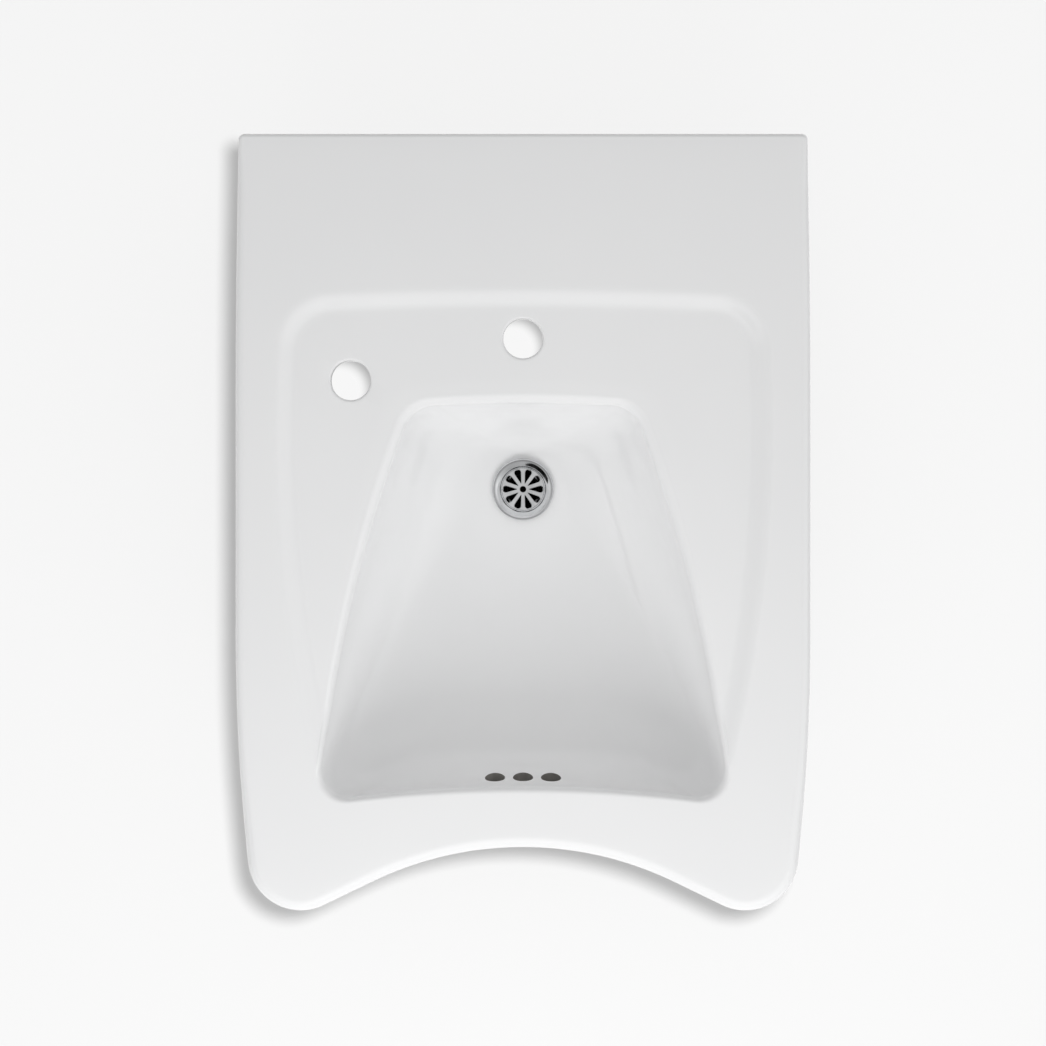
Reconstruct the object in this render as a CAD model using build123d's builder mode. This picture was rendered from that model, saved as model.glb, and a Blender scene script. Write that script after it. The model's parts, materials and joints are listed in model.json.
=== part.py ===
from build123d import *
import os
from math import asin, atan2, cos, degrees, hypot, radians, sin, sqrt, tan

# A wall-hung bathroom sink for a wheelchair user, in millimetres.
# +Z is up, the wall is the plane Y = 0, the user sits toward -Y and X = 0 is the centreline.
# The origin is the middle of the flat rear face of the china.

os.makedirs("parts", exist_ok=True)

# Overall size of the china
overall_width = 508.0
overall_depth = 686.0
apron_height = 160.0
front_skirt_height = 95.0
apron_flat_length = 250.0
apron_bend_radius = 400.0

# Outline seen from above
rear_narrowing = 3.0
rear_taper_length = 235.0
front_taper_start = 440.0
horn_radius = 47.0
horn_inset = 10.5
bay_depth = 56.0
bay_flank_angle = 25.8

# China walls and edges
skirt_wall = 10.0
bowl_wall = 11.0
deck_wall = 12.0
edge_radius = 9.0
rear_edge_radius = 4.0

# Self-draining recess in the deck
recess_depth = 8.0
recess_back = 151.0
recess_back_bow = 6.0
recess_half_width = 211.0
recess_widest = 260.0
recess_side_radius = 1250.0
recess_corner_radius = 42.0
recess_front_corner_radius = 21.0
recess_slope_run = 8.0
recess_edge_radius = 11.0
recess_fillet_limit = 0.48

# Bowl opening at its lip
bowl_back = 238.5
bowl_back_bow = 2.5
bowl_back_half_width = 98.5
bowl_front = 590.0
bowl_front_bow = 14.0
bowl_front_half_width = 182.5
bowl_side_bow = 13.8
bowl_back_corner_radius = 30.0
bowl_front_corner_radius = 25.0
ledge_lip_radius = 9.0
front_lip_radius = 6.0
lip_overlap = 0.4
lip_turns = (0, 30, 60, 82)
bowl_cut_rise = 2.0

# Bowl inside
bowl_depth = 115.0
back_wall_lean = 0.30
side_wall_lean = 0.15
front_wall_lean = 0.05
floor_roundness = 3.0
bowl_level_shares = (0.22, 0.36, 0.52, 0.68, 0.8, 0.89, 0.95, 0.985, 1)
drain_setback = 312.0
landing_radius = 32.0
landing_fullness = 0.96
landing_bow = 0.3

# Integral overflow
overflow_passage = 10.0
overflow_side_gap = 4.0
overflow_hole_diameter = 18.0
overflow_hole_pitch = 25.0
overflow_hole_count = 3
overflow_hole_depth = 32.0
overflow_roof_gap = 3.0

# Holes in the deck
faucet_hole_diameter = 35.0
faucet_setback = 180.0
soap_hole_diameter = 35.0
soap_offset = 152.5
soap_setback = 217.0
deck_hole_edge_radius = 2.5

# Concealed support arms
arm_side_inset = 54.0
arm_tip_length = 20.0
arm_width = 22.0
arm_height = 38.0
arm_nose_radius = 9.0
arm_drop = 12.0
plate_width = 60.0
plate_height = 96.0
plate_thickness = 10.0
plate_rise = 8.0
plate_corner_radius = 6.0
plate_hole_diameter = 11.0
plate_hole_spacing_x = 40.0
plate_hole_spacing_z = 76.0
gusset_thickness = 10.0
gusset_length = 70.0
notch_gap = 3.0
notch_corner_radius = 8.0

# Levelling screws through each arm
levelling_thread = 10.0
levelling_rear_setback = 165.0
levelling_lug_gap = 15.0
levelling_pad_diameter = 20.0
levelling_pad_thickness = 5.0
levelling_pad_socket = 3.0
levelling_nut_flats = 17.0
levelling_nut_height = 6.0
levelling_tail = 6.0
levelling_slot_width = 1.6
levelling_slot_depth = 2.0

# Lock bolt, and the china loop that it clamps
lug_setback = 340.0
lug_length = 60.0
lug_wall = 12.0
lug_gap = 4.0
lug_hole_diameter = 16.0
loop_side_gap = 7.0
loop_wall = 10.0
lock_thread = 12.0
lock_depth = 20.0
lock_head_flats = 19.0
lock_head_height = 8.0
lock_washer_diameter = 36.0
lock_washer_thickness = 3.0
lock_cushion_thickness = 4.0

# Drain
drain_hole_diameter = 44.5
drain_countersink = 3.0
drain_seat_gap = 0.75
shank_diameter = 41.0
shank_bore = 30.0
shank_length = 64.0
flange_diameter = 57.0
flange_thickness = 2.5
flange_ring_width = 3.6
flange_seal_thickness = 1.5
flange_edge_radius = 1.2
grid_diameter = 39.0
grid_thickness = 1.5
grid_depth = 6.0
grid_slot_count = 10
grid_slot_end_radius = 2.65
grid_slot_end_offset = 15.9
grid_slot_tip_offset = 5.6
grid_centre_hole_radius = 2.95
port_diameter = 8.0
port_count = 4
gasket_diameter = 60.0
gasket_height = 10.0
gasket_cone_height = 5.0
gasket_cone_gap = 0.5
gasket_bevel = 4.0
friction_washer_diameter = 56.0
friction_washer_thickness = 2.0
locknut_flats = 54.0
locknut_height = 10.0
locknut_chamfer = 1.5
tail_diameter = 31.75
tail_wall = 1.3
tail_length = 102.0
tail_thread_diameter = 33.0
tail_engagement = 12.0
tail_seal_thickness = 1.5

# Distance within which two places in the model count as the same
same_place = 0.01

# Heights and places worked out from the sizes above
arm_offset = overall_width / 2 - arm_side_inset
levelling_setbacks = (levelling_rear_setback, lug_setback + lug_length / 2 + levelling_lug_gap)
arm_length = levelling_setbacks[-1] + arm_tip_length
rim_z = apron_height / 2
bottom_z = rim_z - apron_height
front_bottom_z = rim_z - front_skirt_height
ledge_z = rim_z - recess_depth
ledge_under_z = ledge_z - deck_wall
shell_overlap = deck_wall / 4
shell_top_depth = recess_depth + shell_overlap
ceiling_z = ledge_z - 2 * shell_overlap
landing_z = rim_z - bowl_depth
boss_wall = 2 * bowl_wall + overflow_passage
boss_z = landing_z - boss_wall
arm_top_z = ledge_under_z - arm_drop
arm_bottom_z = arm_top_z - arm_height
plate_top_z = arm_top_z + plate_rise
lug_top_z = arm_bottom_z - lug_gap
lug_bottom_z = lug_top_z - lug_wall
plate_z = plate_top_z - plate_height / 2
loop_rib_x = arm_offset - arm_width / 2 - loop_side_gap - loop_wall / 2
loop_end_x = overall_width / 2 - skirt_wall / 2
lock_seat_z = lug_bottom_z - lock_cushion_thickness - lock_washer_thickness
drain_y = -drain_setback
countersink_radius = drain_hole_diameter / 2 + drain_countersink
seat_radius = countersink_radius - drain_seat_gap
flange_z = flange_seal_thickness + flange_thickness
grid_z = flange_z - grid_depth
port_z = -bowl_wall - overflow_passage / 2
washer_z = -boss_wall - gasket_height
locknut_z = washer_z - friction_washer_thickness
socket_z = tail_engagement + tail_seal_thickness - shank_length
overflow_half_width = (overflow_hole_count - 1) / 2 * overflow_hole_pitch
overflow_half_width += overflow_hole_diameter / 2 + overflow_side_gap
overflow_roof_z = rim_z - overflow_hole_depth + overflow_hole_diameter / 2 + overflow_roof_gap


def basin_outline(inset):
    """The china seen from above, drawn in by inset: flared sides, round horns and a concave front."""
    half = overall_width / 2
    rear_radius = (rear_taper_length**2 + rear_narrowing**2) / (2 * rear_narrowing)
    rear_turn = asin((rear_taper_length - inset) / (rear_radius - inset))
    rear_x = half - rear_radius + (rear_radius - inset) * cos(rear_turn)
    horn_x = half - horn_inset - horn_radius
    horn_y = -(overall_depth - horn_radius)
    reach = -front_taper_start - horn_y
    gap = half - horn_x
    side_radius = (gap**2 + reach**2 - horn_radius**2) / (2 * (gap - horn_radius))
    side_turn = degrees(asin(reach / (side_radius - horn_radius)))
    slant = radians(bay_flank_angle)
    bay_radius = (horn_x * sin(slant) - bay_depth * cos(slant)) / (1 - cos(slant)) - horn_radius
    bay_y = -(overall_depth - bay_depth) - bay_radius
    with BuildSketch() as outline:
        with BuildLine():
            Line((0, -inset), (rear_x, -inset))
            CenterArc((half - rear_radius, -rear_taper_length), rear_radius - inset, 0, degrees(rear_turn))
            Line((half - inset, -rear_taper_length), (half - inset, -front_taper_start))
            CenterArc((half - side_radius, -front_taper_start), side_radius - inset, 0, -side_turn)
            horn = CenterArc((horn_x, horn_y), horn_radius - inset, -side_turn, side_turn - 90 - bay_flank_angle)
            bay = CenterArc((0, bay_y), bay_radius + inset, 90 - bay_flank_angle, bay_flank_angle)
            Line(horn @ 1, bay @ 0)
            mirror(about=Plane.YZ)
        make_face()
    return outline.sketch


def recess_outline(grow):
    """The recess seen from above, moved out by grow. Its front end lies inside the bowl opening."""
    side = recess_side_radius + grow
    side_centre = recess_half_width - recess_side_radius
    back = recess_back - grow
    front = bowl_front - bowl_front_bow - recess_edge_radius - recess_slope_run / 2 + grow
    back_x = side_centre + side * cos(asin((recess_widest - back) / side))
    front_x = side_centre + side * cos(asin((front - recess_widest) / side))
    widest = recess_half_width + grow
    with BuildSketch() as outline:
        with BuildLine():
            ThreePointArc((-back_x, -back), (0, recess_back_bow - back), (back_x, -back))
            ThreePointArc((back_x, -back), (widest, -recess_widest), (front_x, -front))
            Line((front_x, -front), (-front_x, -front))
            ThreePointArc((-front_x, -front), (-widest, -recess_widest), (-back_x, -back))
        make_face()
        fillet(outline.vertices().group_by(Axis.Y)[-1], recess_corner_radius + grow)
        fillet(outline.vertices().group_by(Axis.Y)[0], recess_front_corner_radius + grow)
    return outline.sketch


def way_in(depth, lip_depth, lean):
    """Share of the way from the lip to the drain landing that a bowl wall has come in at a depth."""
    fall = min(max((depth - lip_depth) / (bowl_depth - lip_depth), 0), 1)
    return lean * fall + (1 - lean) * (1 - sqrt(1 - fall**floor_roundness))


def blend(start, end, share):
    """The value that lies a share of the way from start to end."""
    return start + (end - start) * share


def bowl_outline(depth, back_grow, front_grow):
    """One level of the bowl, as a bowed and rounded trapezoid moved out at its back and front ends."""
    back = way_in(depth, recess_depth, back_wall_lean)
    back_side = way_in(depth, recess_depth, side_wall_lean)
    front = way_in(depth, 0, front_wall_lean)
    front_side = way_in(depth, 0, side_wall_lean)
    back_y = blend(-bowl_back, landing_radius - drain_setback, back) + back_grow
    front_y = blend(-bowl_front, -landing_radius - drain_setback, front) - front_grow
    back_x = blend(bowl_back_half_width, landing_radius, back_side) + back_grow
    front_x = blend(bowl_front_half_width, landing_radius, front_side) + front_grow
    back_bow = blend(bowl_back_bow, landing_bow, back)
    front_bow = blend(bowl_front_bow, landing_bow, front)
    side_bow = blend(bowl_side_bow, landing_bow, front_side)
    back_round = blend(bowl_back_corner_radius / bowl_back_half_width, landing_fullness, back_side)
    front_round = blend(bowl_front_corner_radius / bowl_front_half_width, landing_fullness, front_side)
    length = hypot(front_x - back_x, back_y - front_y)
    side_x = (back_x + front_x) / 2 + side_bow * (back_y - front_y) / length
    side_y = (back_y + front_y) / 2 + side_bow * (front_x - back_x) / length
    with BuildSketch() as outline:
        with BuildLine():
            ThreePointArc((-back_x, back_y), (0, back_y + back_bow), (back_x, back_y))
            ThreePointArc((back_x, back_y), (side_x, side_y), (front_x, front_y))
            ThreePointArc((front_x, front_y), (0, front_y + front_bow), (-front_x, front_y))
            ThreePointArc((-front_x, front_y), (-side_x, side_y), (-back_x, back_y))
        make_face()
        fillet(outline.vertices().sort_by(Axis.Y)[:2], front_round * front_x)
        fillet(outline.vertices().sort_by(Axis.Y)[-2:], back_round * back_x)
    return outline.sketch


def bowl_body(first, grow):
    """The bowl's space, or with grow the same form one wall larger all round and at the bottom."""
    with BuildPart() as body:
        for depth in [first] + [bowl_depth * share for share in bowl_level_shares]:
            drop = grow * max(depth / bowl_depth, 0) ** floor_roundness
            with BuildSketch(Plane.XY.offset(rim_z - depth - drop)):
                add(bowl_outline(depth, grow, grow))
        loft()
    return body.part


def lip_body(lip_depth, radius, back_share, front_share):
    """A funnel that rounds the bowl's lip, with its share of the radius at the back and front ends."""
    with BuildPart() as body:
        for turn in lip_turns:
            below = radius * (1 - sin(radians(turn)))
            out = radius * (1 - cos(radians(turn))) - lip_overlap
            with BuildSketch(Plane.XY.offset(rim_z - lip_depth - below)):
                add(bowl_outline(lip_depth + below, back_share * out, front_share * out - lip_overlap))
        with BuildSketch(Plane.XY.offset(rim_z - lip_depth + radius / 4)):
            add(bowl_outline(lip_depth, back_share * 2 * radius, front_share * 2 * radius - lip_overlap))
        loft(ruled=True)
    return body.part


def recess_body():
    """The recess as a shallow pan whose wall slopes in an S, with a plate above the rim."""
    slope = hypot(recess_slope_run, recess_depth)
    turn = atan2(recess_depth, recess_slope_run) / 2
    roundness = min(recess_edge_radius, recess_fillet_limit * slope / tan(turn))
    with BuildPart() as body:
        with BuildSketch(Plane.XY.offset(ledge_z)):
            add(recess_outline(-recess_slope_run / 2))
        with BuildSketch(Plane.XY.offset(rim_z)):
            add(recess_outline(recess_slope_run / 2))
        loft(ruled=True)
        with BuildSketch(Plane.XY.offset(rim_z)):
            add(recess_outline(recess_slope_run / 2 + 2 * recess_edge_radius))
        extrude(amount=recess_depth)
        fillet(body.faces().sort_by(Axis.Z)[0].edges(), roundness)
        rim_face = body.faces().filter_by(Axis.Z).sort_by(Axis.Z)[1]
        fillet(rim_face.inner_wires()[0].edges(), roundness)
    return body.part


def duct_column(half_width, top_z):
    """An upright column round the drain and forward of it, which limits the overflow duct."""
    with BuildPart() as column:
        with BuildSketch(Plane.XY.offset(bottom_z - apron_height)):
            with Locations((0, drain_y)):
                Circle(half_width)
            with Locations((0, drain_y - overall_depth / 2)):
                Rectangle(2 * half_width, overall_depth)
        extrude(amount=top_z - bottom_z + apron_height)
    return column.part


# Basin: one vitreous china casting
with BuildPart() as duct:
    add(bowl_body(shell_top_depth, boss_wall))
    add(duct_column(overflow_half_width + bowl_wall, rim_z), mode=Mode.INTERSECT)

with BuildPart() as passage:
    add(bowl_body(shell_top_depth, bowl_wall + overflow_passage))
    add(bowl_body(shell_top_depth, bowl_wall), mode=Mode.SUBTRACT)
    add(duct_column(overflow_half_width, overflow_roof_z), mode=Mode.INTERSECT)

with BuildPart() as basin:
    with BuildSketch(Plane.XY.offset(bottom_z)):
        add(basin_outline(0))
    extrude(amount=apron_height)
    with BuildSketch(Plane.YZ) as side_profile:
        with BuildLine():
            bend = (-apron_flat_length, bottom_z)
            Polyline((0, rim_z), (0, bottom_z), bend, (-overall_depth, front_bottom_z),
                     (-overall_depth, rim_z), close=True)
        make_face()
        fillet(side_profile.vertices().sort_by_distance(Vertex(*bend))[0], apron_bend_radius)
    extrude(amount=overall_width, both=True, mode=Mode.INTERSECT)
    fillet(basin.edges().group_by(Axis.Z)[-1].sort_by(Axis.Y)[:-1], edge_radius)
    rear_face = basin.faces().sort_by(Axis.Y)[-1]
    fillet(rear_face.edges().sort_by(Axis.Z)[1:], rear_edge_radius)

    # The hollow under the deck, and the thicker pan under the recess
    with BuildSketch(Plane.XY.offset(ceiling_z)):
        add(basin_outline(skirt_wall))
    extrude(amount=-apron_height, mode=Mode.SUBTRACT)
    with BuildSketch(Plane.XY.offset(ledge_under_z)):
        add(recess_outline(recess_slope_run / 2 + deck_wall / 2))
    extrude(amount=ceiling_z - ledge_under_z)

    # Bowl shell, overflow duct, and the spaces inside them
    add(bowl_body(shell_top_depth, bowl_wall))
    add(duct.part)
    add(recess_body(), mode=Mode.SUBTRACT)
    add(bowl_body(-bowl_cut_rise, 0), mode=Mode.SUBTRACT)
    add(lip_body(recess_depth, ledge_lip_radius, 1, 0), mode=Mode.SUBTRACT)
    add(lip_body(0, front_lip_radius, 1, 1), mode=Mode.SUBTRACT)
    add(passage.part, mode=Mode.SUBTRACT)

    # Faucet and soap holes in the recess, with soft glazed edges
    for x, y, diameter in ((0, -faucet_setback, faucet_hole_diameter),
                           (-soap_offset, -soap_setback, soap_hole_diameter)):
        with BuildSketch(Plane.XY.offset(ledge_z)):
            with Locations((x, y)):
                Circle(diameter / 2)
        extrude(amount=-2 * deck_wall, mode=Mode.SUBTRACT)
        hole = Vector(x, y, ledge_z)
        rims = basin.edges().filter_by(GeomType.CIRCLE)
        fillet(rims.filter_by(lambda e: (e.arc_center - hole).length < same_place), deck_hole_edge_radius)

    # Drain hole through both floors, and overflow holes high in the front wall
    with BuildSketch(Plane.XY.offset(boss_z)):
        with Locations((0, drain_y)):
            Circle(drain_hole_diameter / 2)
    extrude(amount=boss_wall, mode=Mode.SUBTRACT)
    landing = Vector(0, drain_y, landing_z)
    rims = basin.edges().filter_by(GeomType.CIRCLE)
    chamfer(rims.filter_by(lambda e: (e.arc_center - landing).length < same_place), drain_countersink)
    front_share = way_in(overflow_hole_depth, 0, front_wall_lean)
    overflow_y = blend(-bowl_front, -landing_radius - drain_setback, front_share)
    overflow_y += blend(bowl_front_bow, landing_bow, front_share) + bowl_wall
    with BuildSketch(Plane.XZ.offset(-overflow_y)):
        with Locations((0, rim_z - overflow_hole_depth)):
            with GridLocations(overflow_hole_pitch, 1, overflow_hole_count, 1):
                Circle(overflow_hole_diameter / 2)
    extrude(amount=2 * bowl_wall + overflow_passage / 2, mode=Mode.SUBTRACT)

    # Windows in the rear wall for the arms' wall plates
    with BuildSketch(Plane.XZ):
        with Locations((-arm_offset, plate_z), (arm_offset, plate_z)):
            RectangleRounded(plate_width + 2 * notch_gap, plate_height + 2 * notch_gap, notch_corner_radius)
    extrude(amount=2 * skirt_wall, mode=Mode.SUBTRACT)

    # Loops round the arms: a rib down from the deck and a lug across to the skirt
    with BuildSketch(Plane.XZ.offset(lug_setback - lug_length / 2)):
        for side in (-1, 1):
            with Locations((side * loop_rib_x, (lug_bottom_z + ceiling_z) / 2)):
                Rectangle(loop_wall, ceiling_z - lug_bottom_z)
            with Locations((side * (loop_rib_x + loop_end_x) / 2, (lug_bottom_z + lug_top_z) / 2)):
                Rectangle(loop_end_x - loop_rib_x, lug_wall)
    extrude(amount=lug_length)
    with BuildSketch(Plane.XY.offset(lug_bottom_z)):
        with Locations((-arm_offset, -lug_setback), (arm_offset, -lug_setback)):
            Circle(lug_hole_diameter / 2)
    extrude(amount=lug_wall, mode=Mode.SUBTRACT)

basin.part.label = "basin"
export_step(basin.part, "parts/basin.step")


def drain_plane(height):
    """A level plane on the drain's axis, at a height above the bowl's landing."""
    return Plane((0, drain_y, landing_z + height))


def ring(bottom, top, inner, outer):
    """A washer-like ring on the drain's axis, between two heights above the landing."""
    with BuildPart() as body:
        with BuildSketch(drain_plane(bottom)):
            Circle(outer)
            Circle(inner, mode=Mode.SUBTRACT)
        extrude(amount=top - bottom)
    return body.part


# Drain body: a flange in the bowl on a threaded shank with overflow ports
with BuildPart() as drain_body:
    with BuildSketch(Plane((0, drain_y, landing_z), x_dir=(1, 0, 0), z_dir=(0, -1, 0))) as drain_profile:
        with BuildLine():
            Polyline((shank_bore / 2, grid_z - grid_thickness), (shank_bore / 2, socket_z),
                     (tail_thread_diameter / 2, socket_z), (tail_thread_diameter / 2, -shank_length),
                     (shank_diameter / 2, -shank_length), (shank_diameter / 2, shank_diameter / 2 - seat_radius),
                     (seat_radius, 0), (seat_radius, flange_seal_thickness),
                     (flange_diameter / 2, flange_seal_thickness), (flange_diameter / 2, flange_z),
                     (flange_diameter / 2 - flange_ring_width, flange_z), (grid_diameter / 2, grid_z),
                     (grid_diameter / 2, grid_z - grid_thickness), close=True)
        make_face()
        top_corners = drain_profile.vertices().filter_by(lambda v: abs(v.Y - flange_z) < same_place)
        fillet(top_corners, flange_edge_radius)
    revolve(axis=Axis((0, drain_y, 0), (0, 0, 1)))
    for index in range(port_count):
        port = Plane((0, drain_y, port_z + landing_z)).rotated((90, 0, 360 / port_count * (index + 0.5)))
        with BuildSketch(port):
            Circle(port_diameter / 2)
        extrude(amount=shank_diameter, mode=Mode.SUBTRACT)
drain_body.part.label = "drain_body"
export_step(drain_body.part, "parts/drain_body.step")

# Strainer: a disc with drop-shaped slots round a centre hole
with BuildPart() as strainer_grid:
    slot_reach = grid_slot_end_offset - grid_slot_tip_offset
    slot_turn = asin(grid_slot_end_radius / slot_reach)
    tangent_x = grid_slot_end_offset - grid_slot_end_radius * sin(slot_turn)
    tangent_y = grid_slot_end_radius * cos(slot_turn)
    with BuildSketch(drain_plane(grid_z - grid_thickness)):
        Circle(grid_diameter / 2)
        Circle(grid_centre_hole_radius, mode=Mode.SUBTRACT)
        with PolarLocations(0, grid_slot_count, start_angle=90):
            with Locations((grid_slot_end_offset, 0)):
                Circle(grid_slot_end_radius, mode=Mode.SUBTRACT)
            Polygon((grid_slot_tip_offset, 0), (tangent_x, tangent_y), (tangent_x, -tangent_y), align=None,
                    mode=Mode.SUBTRACT)
    extrude(amount=grid_thickness)
strainer_grid.part.label = "strainer_grid"
export_step(strainer_grid.part, "parts/strainer_grid.step")

# Flange seal
with BuildPart() as flange_seal:
    add(ring(0, flange_seal_thickness, countersink_radius, flange_diameter / 2 - flange_edge_radius))
flange_seal.part.label = "flange_seal"
export_step(flange_seal.part, "parts/flange_seal.step")

# Cone gasket: a rubber ring under the china whose nose enters the drain hole
with BuildPart() as cone_gasket:
    with BuildSketch(Plane((0, drain_y, landing_z - boss_wall), x_dir=(1, 0, 0), z_dir=(0, -1, 0))):
        with BuildLine():
            Polyline((shank_diameter / 2, -gasket_height), (gasket_diameter / 2 - gasket_bevel, -gasket_height),
                     (gasket_diameter / 2, -gasket_height / 2), (gasket_diameter / 2, 0),
                     (drain_hole_diameter / 2, 0), (shank_diameter / 2 + gasket_cone_gap, gasket_cone_height),
                     (shank_diameter / 2, gasket_cone_height), close=True)
        make_face()
    revolve(axis=Axis((0, drain_y, 0), (0, 0, 1)))
cone_gasket.part.label = "cone_gasket"
export_step(cone_gasket.part, "parts/cone_gasket.step")

# Friction washer
with BuildPart() as friction_washer:
    add(ring(washer_z - friction_washer_thickness, washer_z, shank_diameter / 2, friction_washer_diameter / 2))
friction_washer.part.label = "friction_washer"
export_step(friction_washer.part, "parts/friction_washer.step")

# Drain locknut
with BuildPart() as drain_locknut:
    with BuildSketch(drain_plane(locknut_z - locknut_height)):
        RegularPolygon(locknut_flats / 2, 6, major_radius=False)
        Circle(shank_diameter / 2, mode=Mode.SUBTRACT)
    extrude(amount=locknut_height)
    chamfer(drain_locknut.faces().sort_by(Axis.Z)[0].outer_wire().edges(), locknut_chamfer)
drain_locknut.part.label = "drain_locknut"
export_step(drain_locknut.part, "parts/drain_locknut.step")

# Tailpiece seal, between the shank's inner shoulder and the end of the tube
with BuildPart() as tailpiece_seal:
    add(ring(socket_z - tail_seal_thickness, socket_z, tail_diameter / 2 - tail_wall, tail_thread_diameter / 2))
tailpiece_seal.part.label = "tailpiece_seal"
export_step(tailpiece_seal.part, "parts/tailpiece_seal.step")

# Tailpiece: a tube with a thicker threaded top end
with BuildPart() as tailpiece:
    tail_top = socket_z - tail_seal_thickness
    tail_bore = tail_diameter / 2 - tail_wall
    add(ring(-shank_length, tail_top, tail_bore, tail_thread_diameter / 2))
    add(ring(-shank_length - tail_length, -shank_length, tail_bore, tail_diameter / 2))
tailpiece.part.label = "tailpiece"
export_step(tailpiece.part, "parts/tailpiece.step")

# Supports: the same set of pieces on the left and on the right
for side_name, side in (("left", -1), ("right", 1)):
    arm_x = side * arm_offset
    screw_points = [(arm_x, -setback) for setback in levelling_setbacks]

    with BuildPart() as support_arm:
        with BuildSketch(Plane.YZ.offset(arm_x)) as arm_side:
            with Locations((-arm_length / 2, (arm_top_z + arm_bottom_z) / 2)):
                Rectangle(arm_length, arm_height)
            fillet(arm_side.vertices().group_by(Axis.X)[0], arm_nose_radius)
        extrude(amount=arm_width / 2, both=True)
        with BuildSketch(Plane.XZ):
            with Locations((arm_x, plate_z)):
                RectangleRounded(plate_width, plate_height, plate_corner_radius)
        extrude(amount=plate_thickness)
        with BuildSketch(Plane.YZ.offset(arm_x)):
            with BuildLine():
                Polyline((0, arm_bottom_z), (0, plate_z - plate_height / 2 + plate_corner_radius),
                         (-plate_thickness, plate_z - plate_height / 2 + plate_corner_radius),
                         (-plate_thickness - gusset_length, arm_bottom_z), close=True)
            make_face()
        extrude(amount=gusset_thickness / 2, both=True)
        with BuildSketch(Plane.XZ):
            with Locations((arm_x, plate_z)):
                with GridLocations(plate_hole_spacing_x, plate_hole_spacing_z, 2, 2):
                    Circle(plate_hole_diameter / 2)
        extrude(amount=plate_thickness, mode=Mode.SUBTRACT)
        with BuildSketch(Plane.XY.offset(arm_bottom_z)):
            with Locations(*screw_points):
                Circle(levelling_thread / 2)
        extrude(amount=arm_height, mode=Mode.SUBTRACT)
        with BuildSketch(Plane.XY.offset(arm_bottom_z)):
            with Locations((arm_x, -lug_setback)):
                Circle(lock_thread / 2)
        extrude(amount=lock_depth, mode=Mode.SUBTRACT)
    support_arm.part.label = side_name + "_support_arm"
    export_step(support_arm.part, "parts/" + side_name + "_support_arm.step")

    with BuildPart() as levelling_screws:
        screw_top = ledge_under_z - levelling_pad_thickness + levelling_pad_socket
        screw_bottom = arm_bottom_z - levelling_nut_height - levelling_tail
        with BuildSketch(Plane.XY.offset(screw_bottom)):
            with Locations(*screw_points):
                Circle(levelling_thread / 2)
        extrude(amount=screw_top - screw_bottom)
        with BuildSketch(Plane.XY.offset(screw_bottom)):
            with Locations(*screw_points):
                Rectangle(2 * levelling_thread, levelling_slot_width)
        extrude(amount=levelling_slot_depth, mode=Mode.SUBTRACT)
    levelling_screws.part.label = side_name + "_levelling_screws"
    export_step(levelling_screws.part, "parts/" + side_name + "_levelling_screws.step")

    with BuildPart() as levelling_nuts:
        with BuildSketch(Plane.XY.offset(arm_bottom_z - levelling_nut_height)):
            with Locations(*screw_points):
                RegularPolygon(levelling_nut_flats / 2, 6, major_radius=False)
                Circle(levelling_thread / 2, mode=Mode.SUBTRACT)
        extrude(amount=levelling_nut_height)
    levelling_nuts.part.label = side_name + "_levelling_nuts"
    export_step(levelling_nuts.part, "parts/" + side_name + "_levelling_nuts.step")

    with BuildPart() as levelling_pads:
        with BuildSketch(Plane.XY.offset(ledge_under_z - levelling_pad_thickness)):
            with Locations(*screw_points):
                Circle(levelling_pad_diameter / 2)
        extrude(amount=levelling_pad_thickness)
        with BuildSketch(Plane.XY.offset(ledge_under_z - levelling_pad_thickness)):
            with Locations(*screw_points):
                Circle(levelling_thread / 2)
        extrude(amount=levelling_pad_socket, mode=Mode.SUBTRACT)
    levelling_pads.part.label = side_name + "_levelling_pads"
    export_step(levelling_pads.part, "parts/" + side_name + "_levelling_pads.step")

    with BuildPart() as lock_cushion:
        with BuildSketch(Plane.XY.offset(lug_bottom_z - lock_cushion_thickness)):
            with Locations((arm_x, -lug_setback)):
                Circle(lock_washer_diameter / 2)
                Circle(lock_thread / 2, mode=Mode.SUBTRACT)
        extrude(amount=lock_cushion_thickness)
    lock_cushion.part.label = side_name + "_lock_cushion"
    export_step(lock_cushion.part, "parts/" + side_name + "_lock_cushion.step")

    with BuildPart() as lock_washer:
        with BuildSketch(Plane.XY.offset(lock_seat_z)):
            with Locations((arm_x, -lug_setback)):
                Circle(lock_washer_diameter / 2)
                Circle(lock_thread / 2, mode=Mode.SUBTRACT)
        extrude(amount=lock_washer_thickness)
    lock_washer.part.label = side_name + "_lock_washer"
    export_step(lock_washer.part, "parts/" + side_name + "_lock_washer.step")

    with BuildPart() as lock_bolt:
        with BuildSketch(Plane.XY.offset(lock_seat_z - lock_head_height)):
            with Locations((arm_x, -lug_setback)):
                RegularPolygon(lock_head_flats / 2, 6, major_radius=False)
        extrude(amount=lock_head_height)
        with BuildSketch(Plane.XY.offset(lock_seat_z)):
            with Locations((arm_x, -lug_setback)):
                Circle(lock_thread / 2)
        extrude(amount=arm_bottom_z + lock_depth - lock_seat_z)
    lock_bolt.part.label = side_name + "_lock_bolt"
    export_step(lock_bolt.part, "parts/" + side_name + "_lock_bolt.step")
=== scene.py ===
# %% [markdown]
# A wall-hung bathroom sink for a wheelchair user, dressed for a picture.
# The real sink is one large casting of white vitreous china, with a chromed drain and a set of hidden metal
# brackets. The measured model comes first and is never changed: it is loaded here as a frame, and each new piece
# is laid over the part of it that it stands for.

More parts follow.
